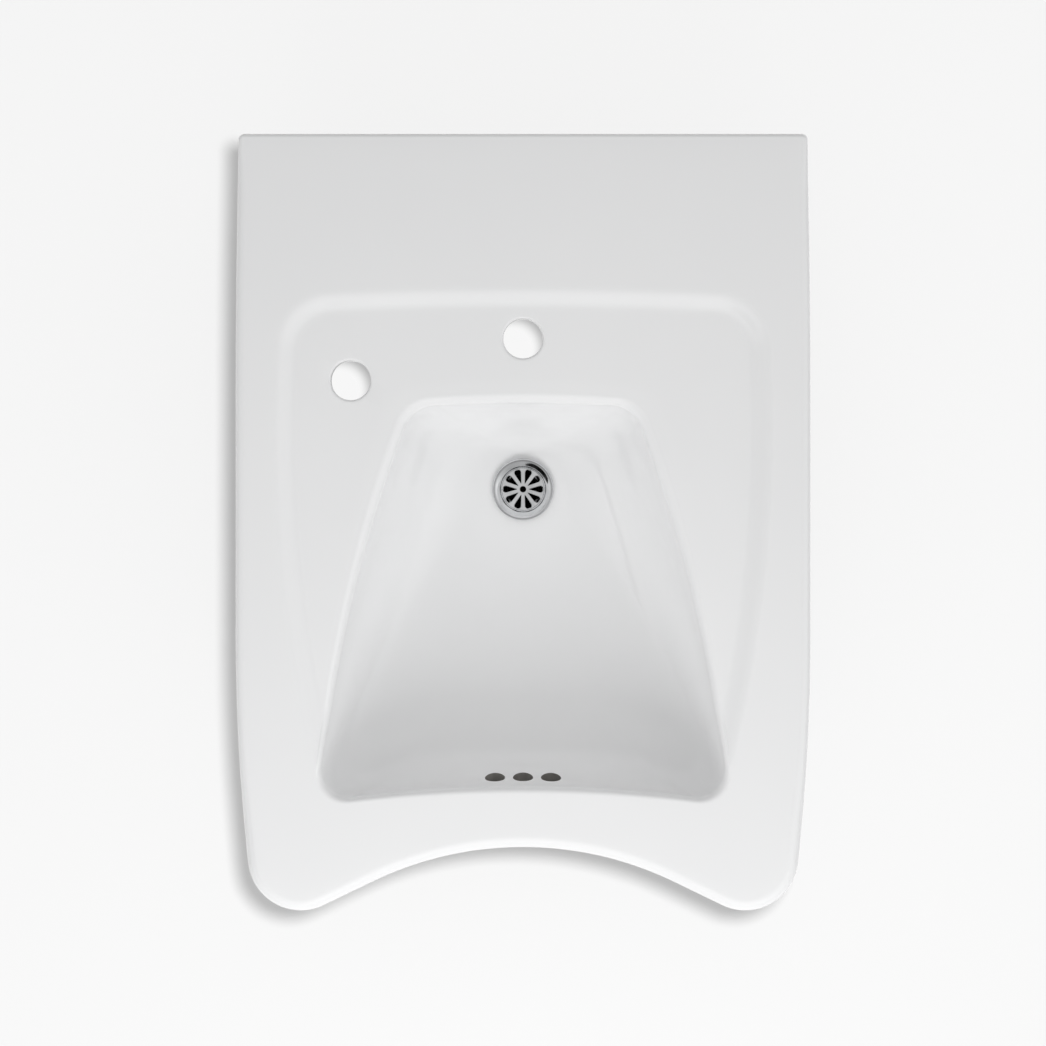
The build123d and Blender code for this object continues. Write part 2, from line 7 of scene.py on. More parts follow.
# %% Load the measured model and note its box
import bpy
import json
import numpy as np
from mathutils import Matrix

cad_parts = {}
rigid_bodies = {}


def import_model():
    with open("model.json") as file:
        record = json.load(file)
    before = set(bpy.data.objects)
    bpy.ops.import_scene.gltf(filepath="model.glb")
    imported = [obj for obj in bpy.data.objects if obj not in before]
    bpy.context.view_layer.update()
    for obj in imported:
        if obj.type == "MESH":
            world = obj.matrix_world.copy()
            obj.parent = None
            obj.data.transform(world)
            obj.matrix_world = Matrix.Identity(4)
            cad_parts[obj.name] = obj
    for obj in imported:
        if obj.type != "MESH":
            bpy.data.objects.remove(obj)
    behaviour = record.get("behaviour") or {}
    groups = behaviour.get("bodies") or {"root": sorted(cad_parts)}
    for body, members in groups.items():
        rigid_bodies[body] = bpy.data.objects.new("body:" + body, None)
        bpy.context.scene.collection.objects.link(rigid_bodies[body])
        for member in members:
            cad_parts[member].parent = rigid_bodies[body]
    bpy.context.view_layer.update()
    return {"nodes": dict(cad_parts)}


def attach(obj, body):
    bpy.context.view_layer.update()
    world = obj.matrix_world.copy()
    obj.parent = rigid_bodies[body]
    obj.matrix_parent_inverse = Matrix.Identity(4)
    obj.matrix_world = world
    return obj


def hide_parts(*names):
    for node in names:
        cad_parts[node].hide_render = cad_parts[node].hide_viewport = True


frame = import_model()
nodes = frame["nodes"]
print("nodes in the frame:", len(nodes))

# %% [markdown]
# Every new piece is a surface worked out as whole arrays: rows of points that run round the piece, one row
# after the other. One helper turns such a grid into a mesh. A ring of points closes on itself in one direction, and
# a tube or a torus closes in both. The sign of the volume tells whether the faces look outwards.

# %% Turn a grid of points into a mesh
MM = 0.001


def grid_faces(rows, columns, wrap_rows, wrap_columns):
    """Four corners of each cell of a grid: a cell, its neighbour along the row, and both of the next row."""
    r = np.arange(rows if wrap_rows else rows - 1)
    c = np.arange(columns if wrap_columns else columns - 1)
    r, c = np.meshgrid(r, c, indexing="ij")
    r_next = (r + 1) % rows
    c_next = (c + 1) % columns
    quads = np.stack([r * columns + c, r * columns + c_next, r_next * columns + c_next, r_next * columns + c], -1)
    return quads.reshape(-1, 4)


def signed_volume(points, quads):
    """Sum over all faces of the volume between the face and the origin, positive if faces look outwards."""
    a, b, c, d = (points[quads[:, k]] for k in range(4))
    return float((np.cross(a, b) * c + np.cross(a, c) * d).sum() / 6)


def linked(name, data):
    """A new object in the scene that shows the data."""
    made = bpy.data.objects.new(name, data)
    bpy.context.scene.collection.objects.link(made)
    return made


def surface(name, parts):
    """One mesh object from grids (rows, columns, 3) in millimetres. A part is (grid, "tube"), (grid, "capped") with
    its first and last rows closed by a face each, or (grid, "torus") with its last row joined to its first."""
    points, faces, used = [], [], 0
    for grid, kind in parts:
        rows, columns = grid.shape[:2]
        flat = grid.reshape(-1, 3) * MM
        quads = grid_faces(rows, columns, kind == "torus", True)
        outward = signed_volume(flat - flat.mean(axis=0), quads) > 0
        quads = quads if outward else quads[:, ::-1]
        faces += (quads + used).tolist()
        if kind == "capped":
            first = np.arange(columns) + used
            last = first + (rows - 1) * columns
            faces += [first[::-1].tolist(), last.tolist()] if outward else [first.tolist(), last[::-1].tolist()]
        points.append(flat)
        used += len(flat)
    mesh = bpy.data.meshes.new(name)
    mesh.from_pydata(np.concatenate(points), [], faces)
    mesh.shade_smooth()
    mesh.update()
    return linked(name, mesh)


# %% [markdown]
# All the closed curves of the china can be seen whole from the middle of the drain. So each curve is
# drawn with arcs and lines, as a draughtsman would, and then read as a distance from the drain's axis in each
# direction. Curves read in the same directions can be joined into a skin, whatever they were drawn with.

# %% Draw with arcs and lines
DRAIN_Y = -312.0


def arc(centre, radius, start, end, count=160):
    """Points on a circle from one angle to another, in radians."""
    a = np.linspace(start, end, count)
    return np.stack([centre[0] + radius * np.cos(a), centre[1] + radius * np.sin(a)], -1)


def line(start, end, count=160):
    """Points on a straight line."""
    share = np.linspace(0, 1, count)[:, None]
    return np.array(start) * (1 - share) + np.array(end) * share


def direction_of(points):
    """Angle seen from the drain's axis, zero toward the wall and growing toward the right."""
    return np.arctan2(points[..., 0], points[..., 1] - DRAIN_Y)


print("the drain's axis is", -DRAIN_Y, "mm from the wall")

# %% [markdown]
# The outer edge: straight at the wall, flared sides, a round horn at each front corner and a hollow front
# between them, where the user sits. The same drawing with every line moved in by an inset gives the rounded top edge
# and the inner face of the skirt.

# %% Outer edge of the china
WIDTH = 508.0
LENGTH = 686.0
HORN = 47.0
HORN_X = WIDTH / 2 - 10.5 - HORN
HORN_Y = -(LENGTH - HORN)
BAY_FLANK = np.radians(25.8)
BAY_DEPTH = 56.0
BAY_RADIUS = (HORN_X * np.sin(BAY_FLANK) - BAY_DEPTH * np.cos(BAY_FLANK)) / (1 - np.cos(BAY_FLANK)) - HORN
BAY_Y = -(LENGTH - BAY_DEPTH) - BAY_RADIUS
REAR_CORNER = 5.0
FLARE_Y, TURN_Y = -235.0, -440.0


def outer_edge(inset):
    """Right half of the outer edge moved in by inset: line, corner, long arc, line, long arc, horn, line, bay."""
    half = WIDTH / 2
    rear_radius = (FLARE_Y**2 + 3.0**2) / (2 * 3.0)
    gap = half - HORN_X
    reach = TURN_Y - HORN_Y
    side_radius = (gap**2 + reach**2 - HORN**2) / (2 * (gap - HORN))
    side_turn = np.arcsin(reach / (side_radius - HORN))
    corner = max(REAR_CORNER - inset, 1.0)
    tilt = np.arcsin((-FLARE_Y - inset - corner) / (rear_radius - inset - corner))
    corner_x = half - rear_radius + (rear_radius - inset - corner) * np.cos(tilt)
    corner_y = -inset - corner
    horn_end = arc((HORN_X, HORN_Y), HORN - inset, -side_turn, -np.pi / 2 - BAY_FLANK)
    bay = arc((0, BAY_Y), BAY_RADIUS + inset, np.pi / 2 - BAY_FLANK, np.pi / 2)
    return np.concatenate([
        line((0, -inset), (corner_x, -inset)),
        arc((corner_x, corner_y), corner, np.pi / 2, tilt),
        arc((half - rear_radius, FLARE_Y), rear_radius - inset, tilt, 0),
        line((half - inset, FLARE_Y), (half - inset, TURN_Y)),
        arc((half - side_radius, TURN_Y), side_radius - inset, 0, -side_turn),
        horn_end,
        line(horn_end[-1], bay[0]),
        bay,
    ])


print("radius of the bay:", round(BAY_RADIUS, 1), "mm")

# %% [markdown]
# The directions are not evenly spread. They follow the length of the outer edge, and lie closer together at the
# small rear corners, round the horns and toward the bowl's front corners, where the surface turns fastest.

# %% Directions in which every curve is read
HALF_COUNT = 290
edge_points = outer_edge(0.0)
edge_steps = np.hypot(*np.diff(edge_points, axis=0).T)
edge_middle = (edge_points[1:] + edge_points[:-1]) / 2


def bump(distance, reach):
    """A smooth hill, one at no distance and nearly zero past the reach."""
    return np.exp(-(distance / reach)**2)


density = 1 + 7 * bump(np.hypot(edge_middle[:, 0] - 250, edge_middle[:, 1]), 9)
density += 0.7 * bump(np.hypot(edge_middle[:, 0] - 210, edge_middle[:, 1] + 660), 60)
travelled = np.concatenate([[0], np.cumsum(edge_steps * density)])
half_turns = np.interp(np.linspace(0, travelled[-1], HALF_COUNT + 1), travelled, direction_of(edge_points))
half_turns[0] = 0
half_turns[-1] = np.pi
turns = np.concatenate([half_turns, -half_turns[-2:0:-1]])
print("directions round the drain:", len(turns))


def reach_of(points):
    """Distance of a curve from the drain's axis in every direction: read on its right half, mirrored to the left."""
    half = np.interp(half_turns, direction_of(points), np.hypot(points[:, 0], points[:, 1] - DRAIN_Y))
    return np.concatenate([half, half[-2:0:-1]])


def ring(radius, height):
    """Points of one row, from a distance and a height in each direction."""
    return np.stack([radius * np.sin(turns), DRAIN_Y + radius * np.cos(turns), height + 0 * turns], -1)


def read_table(table, place):
    """Value at a place between the rows of a table. The place may differ from one direction to the next."""
    place = np.broadcast_to(place, turns.shape)
    low = np.clip(place.astype(int), 0, len(table) - 2)
    columns = np.arange(len(turns))
    return table[low, columns] * (1 - place + low) + table[low + 1, columns] * (place - low)


edge_table = np.array([reach_of(outer_edge(float(inset))) for inset in range(19)])


def edge_reach(inset):
    """Distance of the outer edge moved in by inset: the table has a row for each millimetre."""
    return read_table(edge_table, inset)


# %% [markdown]
# The recess and each level of the bowl are the same kind of shape: a bowed back, two bowed sides and a front,
# with rounded corners. A corner's centre is where two circles cross, each moved in by the corner's radius, which is how
# it would be found with a pair of compasses.

# %% A bowed shape with rounded corners
def crossings(centre_a, radius_a, centre_b, radius_b):
    """The two points where two circles cross, one on each side of the line between their centres."""
    apart = centre_b - centre_a
    distance = np.hypot(*apart)
    along = (radius_a**2 - radius_b**2 + distance**2) / (2 * distance)
    across = np.sqrt(radius_a**2 - along**2)
    ahead = apart / distance
    return [centre_a + along * ahead + side * across * np.array([-ahead[1], ahead[0]]) for side in (-1, 1)]


def angle_from(centre, point):
    """Angle of the line from a centre to a point."""
    return np.arctan2(point[1] - centre[1], point[0] - centre[0])


def half_shape(back_y, back_bow, back_x, side_centre, side_radius, front_y, front_bow, front_x, rounds):
    """Right half of the shape: back arc, corner, side arc, corner, and a front arc that may bow inwards."""
    back_radius = (back_x**2 + back_bow**2) / (2 * back_bow)
    back_centre = np.array([0, back_y + back_bow - back_radius])
    front_radius = (front_x**2 + front_bow**2) / (2 * front_bow)
    front_centre = np.array([0, front_y + front_bow - front_radius])
    side_centre = np.array(side_centre)
    near_back = max(crossings(back_centre, back_radius - rounds[0], side_centre, side_radius - rounds[0]),
                    key=lambda p: p[1])
    near_front = max(crossings(front_centre, front_radius + rounds[1], side_centre, side_radius - rounds[1]),
                     key=lambda p: p[0] - abs(p[1] - front_y))
    back_turn = angle_from(back_centre, near_back)
    side_start = angle_from(side_centre, near_back)
    side_end = angle_from(side_centre, near_front)
    front_turn = angle_from(near_front, front_centre)
    return np.concatenate([
        arc(back_centre, back_radius, np.pi / 2, back_turn),
        arc(near_back, rounds[0], back_turn, side_start),
        arc(side_centre, side_radius, side_start, side_end),
        arc(near_front, rounds[1], side_end, front_turn),
        arc(front_centre, front_radius, front_turn + np.pi, np.pi / 2),
    ])


# %% [markdown]
# The recess is a shallow pan in the deck, 8 mm deep, with a sloping wall that lets splashed water run back into the
# bowl. Its outline is drawn once for each amount that it is moved out, so that a row of the skin can follow the foot
# of the slope, its middle or its top.

# %% Outline of the recess, and the height of the deck
RIM_Z = 80.0
LEDGE_Z = 72.0
SLOPE_REACH = 11.5
RECESS_BACK_Y, RECESS_FRONT_Y = -151.0, -561.0
RECESS_SIDE_X, RECESS_SIDE_Y, RECESS_SIDE_RADIUS = 211.0, -260.0, 1250.0


def recess_edge(grow):
    """Right half of the recess outline, moved out by grow: a bowed back, bowed sides and a straight front."""
    side_radius = RECESS_SIDE_RADIUS + grow
    side_centre = (RECESS_SIDE_X - RECESS_SIDE_RADIUS, RECESS_SIDE_Y)
    back_y = RECESS_BACK_Y + grow
    back_x = side_centre[0] + side_radius * np.cos(np.arcsin((back_y - RECESS_SIDE_Y) / side_radius))
    front_y = RECESS_FRONT_Y - grow
    return half_shape(back_y, 6.0, back_x, side_centre, side_radius, front_y, 0.01, 200.0, (42.0 + grow, 21.0 + grow))


GROW_LOW, GROW_HIGH = -12.0, 16.0
recess_middle = reach_of(recess_edge(0.0))
recess_stretch = (reach_of(recess_edge(GROW_HIGH)) - reach_of(recess_edge(GROW_LOW))) / (GROW_HIGH - GROW_LOW)


def deck_height(radius):
    """Height of the deck: the recess floor and the rim joined by an S that starts and ends level, smoothed twice."""
    share = np.clip((radius - recess_middle) / recess_stretch / (2 * SLOPE_REACH) + 0.5, 0, 1)
    return LEDGE_Z + (RIM_Z - LEDGE_Z) * share**3 * (10 - 15 * share + 6 * share**2)


print("recess from", round(DRAIN_Y + recess_middle[0], 1), "to", round(DRAIN_Y - recess_middle[HALF_COUNT], 1), "mm")

# %% [markdown]
# The bowl is a long trapezoid at its lip and a circle at the drain. Each level in between blends the two: the walls
# come in slowly at first and then sweep round into the floor, like a quarter of a superellipse. The back wall leans
# more than the front one.

# %% Levels of the bowl
BOWL_DEPTH = 115.0
LANDING = 32.0
LIP_BACK_Y, LIP_FRONT_Y = -238.5, -590.0
LIP_BACK_X, LIP_FRONT_X = 98.5, 182.5


def way_in(depth, lip_depth, lean):
    """Share of the way from lip to drain: a straight lean plus one minus the root of one minus the cube."""
    fall = np.clip((depth - lip_depth) / (BOWL_DEPTH - lip_depth), 0, 1)
    return lean * fall + (1 - lean) * (1 - np.sqrt(1 - fall**3))


def mix(start, end, share):
    """Value that lies a share of the way from start to end."""
    return start + (end - start) * share


def bowl_level(depth, grow):
    """Right half of the bowl at a depth, moved out by grow."""
    back = way_in(depth, 8.0, 0.30)
    back_side = way_in(depth, 8.0, 0.15)
    front = way_in(depth, 0.0, 0.05)
    front_side = way_in(depth, 0.0, 0.15)
    back_y = mix(LIP_BACK_Y, DRAIN_Y + LANDING, back) + grow
    front_y = mix(LIP_FRONT_Y, DRAIN_Y - LANDING, front) - grow
    back_x = mix(LIP_BACK_X, LANDING, back_side) + grow
    front_x = mix(LIP_FRONT_X, LANDING, front_side) + grow
    side_bow = mix(13.8, 0.3, front_side)
    rounds = (mix(30.0 / LIP_BACK_X, 0.96, back_side) * back_x,
              mix(25.0 / LIP_FRONT_X, 0.96, front_side) * front_x)
    chord = np.array([front_x - back_x, front_y - back_y])
    length = np.hypot(*chord)
    radius = (length**2 / 4 + side_bow**2) / (2 * side_bow)
    outward = np.array([-chord[1], chord[0]]) / length
    centre = np.array([back_x + front_x, back_y + front_y]) / 2 + outward * (side_bow - radius)
    return half_shape(back_y, mix(2.5, 0.3, back), back_x, centre, radius,
                      front_y, mix(14.0, 0.3, front), front_x, rounds)


# %% Tables of the bowl
SWEEP_STEPS = 240
WALL, DUCT_WALL = 11.0, 32.0


def depth_at(sweep):
    """Depth of the bowl at a sweep, which is an angle from lip to floor: its sine to the power of two thirds."""
    return BOWL_DEPTH * np.sin(sweep)**(2 / 3)


def sweep_at(depth):
    """Sweep at which the bowl has a depth."""
    return np.arcsin(np.clip(depth / BOWL_DEPTH, 0, 1)**1.5)


def bowl_table(grow):
    """Distance of the bowl wall from the drain's axis: one row for each sweep step, one column a direction."""
    return np.array([reach_of(bowl_level(depth, grow)) for depth in depth_at(np.linspace(0, np.pi / 2, SWEEP_STEPS))])


def read_sweep(table, sweep):
    """Distance at a sweep that may differ from one direction to the next."""
    return read_table(table, np.clip(sweep / (np.pi / 2), 0, 1) * (SWEEP_STEPS - 1))


inner_table = bowl_table(0.0)
shell_table = bowl_table(WALL)
duct_table = bowl_table(DUCT_WALL)
print("bowl opening", round(2 * inner_table[0].max(), 1), "mm across its corners")

# %% [markdown]
# The skin starts in the drain hole, crosses the flat landing, runs up the bowl, rolls over the lip, climbs the slope
# of the recess, crosses the rim and rolls down over the outer edge. The lip is 8 mm lower where it borders the
# recess, so its height is read from the deck just outside it.

# %% Rows of the visible side
def smooth_step(x):
    """Zero below 0, one above 1, and an S-shaped cubic between."""
    x = np.clip(x, 0, 1)
    return x * x * (3 - 2 * x)


def larger(a, b, softness):
    """The larger of two values, with a rounded change from one to the other."""
    return (a + b + np.sqrt((a - b)**2 + softness**2)) / 2


rows = []
for radius, height in ((22.25, -67.0), (22.25, -38.0), (25.25, -35.0), (27.0, -35.0), (30.0, -35.0)):
    rows.append(ring(radius, height))

lip_height = deck_height(read_sweep(inner_table, sweep_at(4.0)) + 7.5)
lip_round = 9.0 - 3.0 * (lip_height - LEDGE_Z) / (RIM_Z - LEDGE_Z)
top_sweep = sweep_at(RIM_Z - lip_height + lip_round)
for share in np.linspace(0, 1, 54):
    sweep = top_sweep + (np.pi / 2 - top_sweep) * (1 - share)**1.25
    rows.append(ring(read_sweep(inner_table, sweep), RIM_Z - depth_at(sweep)))

for turn in np.linspace(0, np.pi / 2, 9)[1:]:
    below = lip_round * (1 - np.sin(turn))
    wall = read_sweep(inner_table, sweep_at(RIM_Z - lip_height + below))
    rows.append(ring(wall + lip_round * (1 - np.cos(turn)), lip_height - below))
lip_reach = wall + lip_round

edge_y = DRAIN_Y + edge_table[0] * np.cos(turns)
edge_round = 4.0 + 4.0 * smooth_step(-edge_y / 50) + 3.0 * smooth_step((-edge_y - 540) / 90)
rim_reach = edge_reach(edge_round)
foot_reach = larger(reach_of(recess_edge(-12.0)), lip_reach + 2.0, 3.0)
head_reach = larger(reach_of(recess_edge(12.0)), foot_reach + 5.0, 3.0)
head_reach = np.minimum(head_reach, rim_reach - 4.0)
foot_reach = np.minimum(foot_reach, head_reach - 3.0)
for start, end, count in ((lip_reach, foot_reach, 7), (foot_reach, head_reach, 18), (head_reach, rim_reach, 7)):
    for share in np.linspace(0, 1, count)[1:]:
        radius = mix(start, end, share)
        rows.append(ring(radius, deck_height(radius)))

for turn in np.linspace(0, np.pi / 2, 10)[1:]:
    rows.append(ring(edge_reach(edge_round * (1 - np.sin(turn))), RIM_Z - edge_round * (1 - np.cos(turn))))
print("rows on the visible side:", len(rows))

# %% [markdown]
# Below the rim the casting is hollow. The skirt is one wall thick, level underneath at the wall side and rising
# toward the user to leave room for the knees. Inside it are the underside of the deck, the outside of the bowl, and
# the thicker part round the drain and forward of it that holds the hidden overflow passage.

# %% Rows of the skirt
BOTTOM_Z = -80.0
KNEE_Y, KNEE_RISE = -250.0, 65.0
KNEE_SLOPE = np.arctan2(KNEE_RISE, LENGTH + KNEE_Y)
BEND = 400.0
SKIRT_WALL = 10.0


def foot_height(y):
    """Height of the skirt's lower edge: level, then an arc, then a straight rise toward the user."""
    start = KNEE_Y + BEND * np.tan(KNEE_SLOPE / 2)
    along = np.clip(start - y, 0, BEND * np.sin(KNEE_SLOPE))
    bend = BEND - np.sqrt(BEND**2 - along**2)
    beyond = np.maximum(start - y - BEND * np.sin(KNEE_SLOPE), 0)
    return BOTTOM_Z + bend + beyond * np.tan(KNEE_SLOPE)


def foot_ring(inset, above):
    """Points of a row near the lower edge, above the edge's own height at each point."""
    points = ring(edge_reach(inset), 0.0)
    points[:, 2] = foot_height(points[:, 1]) + above
    return points


skirt_top = RIM_Z - edge_round
for share in np.linspace(0, 1, 7)[1:]:
    row = foot_ring(0.0, 3.0)
    row[:, 2] = mix(skirt_top, row[:, 2], share)
    rows.append(row)
foot_row = len(rows) - 1
FOOT = ((0.9, 0.9), (3.0, 0.0), (7.0, 0.0), (9.1, 0.9), (SKIRT_WALL, 3.0))
for inset, above in FOOT:
    rows.append(foot_ring(inset, above))

# %% Rows of the underside
shell_start = read_sweep(shell_table, sweep_at(19.0))
duct_start = read_sweep(duct_table, sweep_at(19.0))


def duct_share(radius):
    """One where the wall holds the overflow passage, zero elsewhere, with a soft change between."""
    x = radius * np.sin(turns)
    y = radius * np.cos(turns)
    distance = np.where(y > 0, radius, np.abs(x))
    return 1 - smooth_step((distance - 41) / 24)


def ceiling_height(radius):
    """Underside of the deck, thicker below the recess."""
    grow = (radius - recess_middle) / recess_stretch
    return 66.0 - 6.0 * (1 - smooth_step((grow - 7) / 6))


inner_skirt = edge_reach(SKIRT_WALL)
for share in (0.25, 0.5, 0.75, 1.0):
    row = foot_ring(SKIRT_WALL, 3.0)
    row[:, 2] = mix(row[:, 2], ceiling_height(inner_skirt) - 5.0, share)
    rows.append(row)
outer_shell = mix(shell_start, duct_start, duct_share(shell_start))
outer_shell = np.minimum(outer_shell, inner_skirt - 9.0)
rows.append(ring(inner_skirt - 1.5, ceiling_height(inner_skirt) - 1.5))
for share in np.linspace(0, 1, 9):
    radius = mix(inner_skirt - 5.0, outer_shell + 4.0, share)
    rows.append(ring(radius, ceiling_height(radius)))
for share in np.linspace(0, 1, 30):
    sweep = mix(sweep_at(24.0), np.pi / 2, share**0.8)
    depth = depth_at(sweep)
    shell = read_sweep(shell_table, sweep)
    duct = duct_share(shell)
    radius = mix(shell, read_sweep(duct_table, sweep), duct)
    wall = mix(WALL, DUCT_WALL, duct)
    rows.append(ring(radius, RIM_Z - depth - wall * (depth / BOWL_DEPTH)**3))
rows.append(ring(34.0, -67.0))

skin = np.array(rows)
basin = surface("basin_china", [(skin, "torus")])
print("china skin:", skin.shape[0], "rows of", skin.shape[1], "points")

# %% [markdown]
# Vitreous china is a white body under a clear glaze about half a millimetre thick. The glaze is very smooth, but it
# flowed while it melted, so wide soft waves and a faint orange peel bend its reflections. Both are made as
# bumps from noise, at the size they have on the real thing.

# %% Helpers for materials
def new_material(name):
    """An empty node material with its shader, and a function that adds a node."""
    material = bpy.data.materials.new(name)
    material.use_nodes = True
    tree = material.node_tree
    shader = tree.nodes["Principled BSDF"]

    def node(kind, **settings):
        """Adds a node. A setting is a constant for one of its sockets, or else one of the node's own options."""
        made = tree.nodes.new(kind)
        for key, value in settings.items():
            if key in made.inputs:
                made.inputs[key].default_value = value
            else:
                setattr(made, key, value)
        return made

    return material, tree, shader, node


def noise_bump(tree, node, shader, layers):
    """Chains one bump for each (noise scale, strength, distance) layer, read from Object coordinates."""
    place = node("ShaderNodeTexCoord")
    before = None
    for scale, strength, distance in layers:
        noise = node("ShaderNodeTexNoise", Scale=scale, Detail=2.0, Roughness=0.5)
        tree.links.new(place.outputs["Object"], noise.inputs["Vector"])
        lift = node("ShaderNodeBump", Strength=strength, Distance=distance)
        tree.links.new(noise.outputs["Fac"], lift.inputs["Height"])
        if before:
            tree.links.new(before.outputs["Normal"], lift.inputs["Normal"])
        before = lift
    tree.links.new(before.outputs["Normal"], shader.inputs["Normal"])
    return place


def varied(tree, node, place, socket, scale, stops, detail=3.0):
    """Links a socket to noise, spread over stops of (share of the noise, value), so it changes slowly."""
    noise = node("ShaderNodeTexNoise", Scale=scale, Detail=detail)
    tree.links.new(place.outputs["Object"], noise.inputs["Vector"])
    ramp = node("ShaderNodeValToRGB")
    marks = ramp.color_ramp.elements
    marks[0].position, marks[1].position = stops[0][0], stops[-1][0]
    for position, _ in stops[1:-1]:
        marks.new(position)
    for mark, (_, value) in zip(marks, stops):
        mark.color = (*value, 1) if isinstance(value, tuple) else (value, value, value, 1)
    tree.links.new(noise.outputs["Fac"], ramp.inputs["Fac"])
    tree.links.new(ramp.outputs["Color"], socket)


SPREAD = (0.3, 0.7)


def finish(name, bumps, colour, roughness, detail=3.0, **constants):
    """A whole material: bump layers, a colour and a roughness that each go from a low to a high value with a noise
    of their scale, and constants for the shader's sockets, whose names have an underscore for each space."""
    material, tree, shader, node = new_material(name)
    for socket, value in constants.items():
        shader.inputs[socket.replace("_", " ")].default_value = value
    place = noise_bump(tree, node, shader, bumps)
    for socket, (scale, *values) in (("Base Color", colour), ("Roughness", roughness)):
        varied(tree, node, place, shader.inputs[socket], scale, list(zip(SPREAD, values)), detail)
    return material


# %% The glaze
glaze = finish("white_glaze", ((9.0, 0.30, 0.0010), (420.0, 0.05, 0.0001)),
               (6.0, (0.872, 0.875, 0.879), (0.889, 0.891, 0.894)), (40.0, 0.10, 0.14),
               IOR=1.52, Coat_Weight=0.25, Coat_Roughness=0.05)
print("finish:", glaze.name)

# %% [markdown]
# The foot of the skirt and the face against the wall stay bare, because glaze would weld the casting to the kiln
# shelf. There the body shows: a little darker and warmer, and quite dull. The faces of the skin are numbered row by
# row, so the bare ones are found by their row, or by their place at the wall.

# %% Bare foot and wall face
body = finish("bare_body", ((300.0, 0.30, 0.0003),), (60.0, (0.63, 0.61, 0.57), (0.69, 0.67, 0.63)),
              (120.0, 0.75, 0.88))
AT_WALL = -0.0006
skin_faces = basin.data.polygons
centres = np.empty(3 * len(skin_faces))
skin_faces.foreach_get("center", centres)
row_of_face = np.arange(len(skin_faces)) // len(turns)
bare = ((row_of_face >= foot_row) & (row_of_face < foot_row + len(FOOT))) | (centres[1::3] > AT_WALL)
basin.data.materials.append(glaze)
basin.data.materials.append(body)
skin_faces.foreach_set("material_index", bare.astype(np.int32))
print("bare faces:", int(bare.sum()), "of", len(bare))

# %% [markdown]
# The holes are made as the potter makes them: cut into the finished form, with their top edges rubbed soft. A
# turned cutter does both at once, because its sides flare out where it leaves the clay. The windows in the rear
# wall let the wall plates of the arms through.

# %% Turned shapes and soft boxes
def full_turn(count):
    """Angles evenly spread over a whole turn, up to the one before the first comes round again."""
    return np.linspace(0, 2 * np.pi, count, endpoint=False)


def turned(profile, centre, columns=96, lying=False):
    """A profile of (radius, height) turned about an upright axis, or about a lying one that points toward the user.
    A radius is one number, or one for each column."""
    a = full_turn(columns)
    across = np.array([radius * np.cos(a) for radius, _ in profile])
    along = np.array([radius * np.sin(a) for radius, _ in profile])
    height = np.array([height + 0 * a for _, height in profile])
    stacked = (across, -height, along) if lying else (across, along, height)
    return np.stack(stacked, -1) + np.array(centre)


def rounded_rectangle(width, height, corner, count=12):
    """Closed outline: four quarter circles, one for each corner."""
    x, y = width / 2 - corner, height / 2 - corner
    middles = ((x, y), (-x, y), (-x, -y), (x, -y))
    return np.concatenate([arc(middle, corner, k * np.pi / 2, (k + 1) * np.pi / 2, count)
                           for k, middle in enumerate(middles)])


def box_with_soft_edges(low, high, edge):
    """A box whose edges are rounded: inset rows at the bottom and top, straight sides between."""
    low, high = np.array(low, float), np.array(high, float)
    size, middle = high - low, (high + low) / 2
    level = [(edge * (1 - np.sin(a)), edge * (1 - np.cos(a))) for a in np.linspace(np.pi / 2, 0, 4)]
    rows_here = []
    for z, inset in [(low[2] + rise, i) for rise, i in level] + [(high[2] - rise, i) for rise, i in level[::-1]]:
        outline = rounded_rectangle(size[0] - 2 * inset, size[1] - 2 * inset, max(edge - inset, 0.05), 4)
        rows_here.append(np.column_stack([outline + middle[:2], np.full(len(outline), z)]))
    return np.array(rows_here)


# %% Cut and join
def shaped(piece, operation, tool):
    """The piece after a Boolean with the tool, as a plain mesh again. Cut faces keep the tool's finish, if it has
    one. The tool is removed."""
    change = piece.modifiers.new("shape", "BOOLEAN")
    change.operation = operation
    change.solver = "EXACT"
    change.material_mode = "TRANSFER" if len(tool.data.materials) else "INDEX"
    change.object = tool
    bpy.context.view_layer.update()
    made = bpy.data.meshes.new_from_object(piece.evaluated_get(bpy.context.evaluated_depsgraph_get()))
    piece.modifiers.clear()
    piece.data = made
    bpy.data.objects.remove(tool)
    made.shade_smooth()
    made.set_sharp_from_angle(angle=np.radians(40))
    made.update()
    return piece


# %% Cut the holes
def deck_cutter(x, y, radius, soft):
    """Straight up to just below the deck, then a quarter circle outwards, then away above it."""
    a = np.linspace(0, np.radians(84), 8)
    flare = np.stack([radius + soft * (1 - np.cos(a)), LEDGE_Z - soft + soft * np.sin(a)], -1)
    outside = radius + soft + 3.0
    return turned([(radius, 50.0), *flare, (outside, LEDGE_Z + 0.35), (outside, 90.0)], (x, y, 0.0))


DECK_HOLES = ((0.0, -180.0), (-152.5, -217.0))
cutters = [(deck_cutter(x, y, 17.5, 2.5), "capped") for x, y in DECK_HOLES]
ARM_X = 200.0
window = rounded_rectangle(66.0, 102.0, 8.0)
for x in (-ARM_X, ARM_X):
    cutters.append((np.array([np.column_stack([window[:, 0] + x, np.full(len(window), y), window[:, 1] + 8.0])
                              for y in (4.0, -14.0)]), "capped"))
basin = shaped(basin, "DIFFERENCE", surface("cutters", cutters))
print("china after cutting:", len(basin.data.polygons), "faces")

# %% [markdown]
# Under the deck, a rib and a lug on each side make a loop round the support arm. The lock bolt pulls the lug
# against the arm from below, so that the sink can't be lifted off.

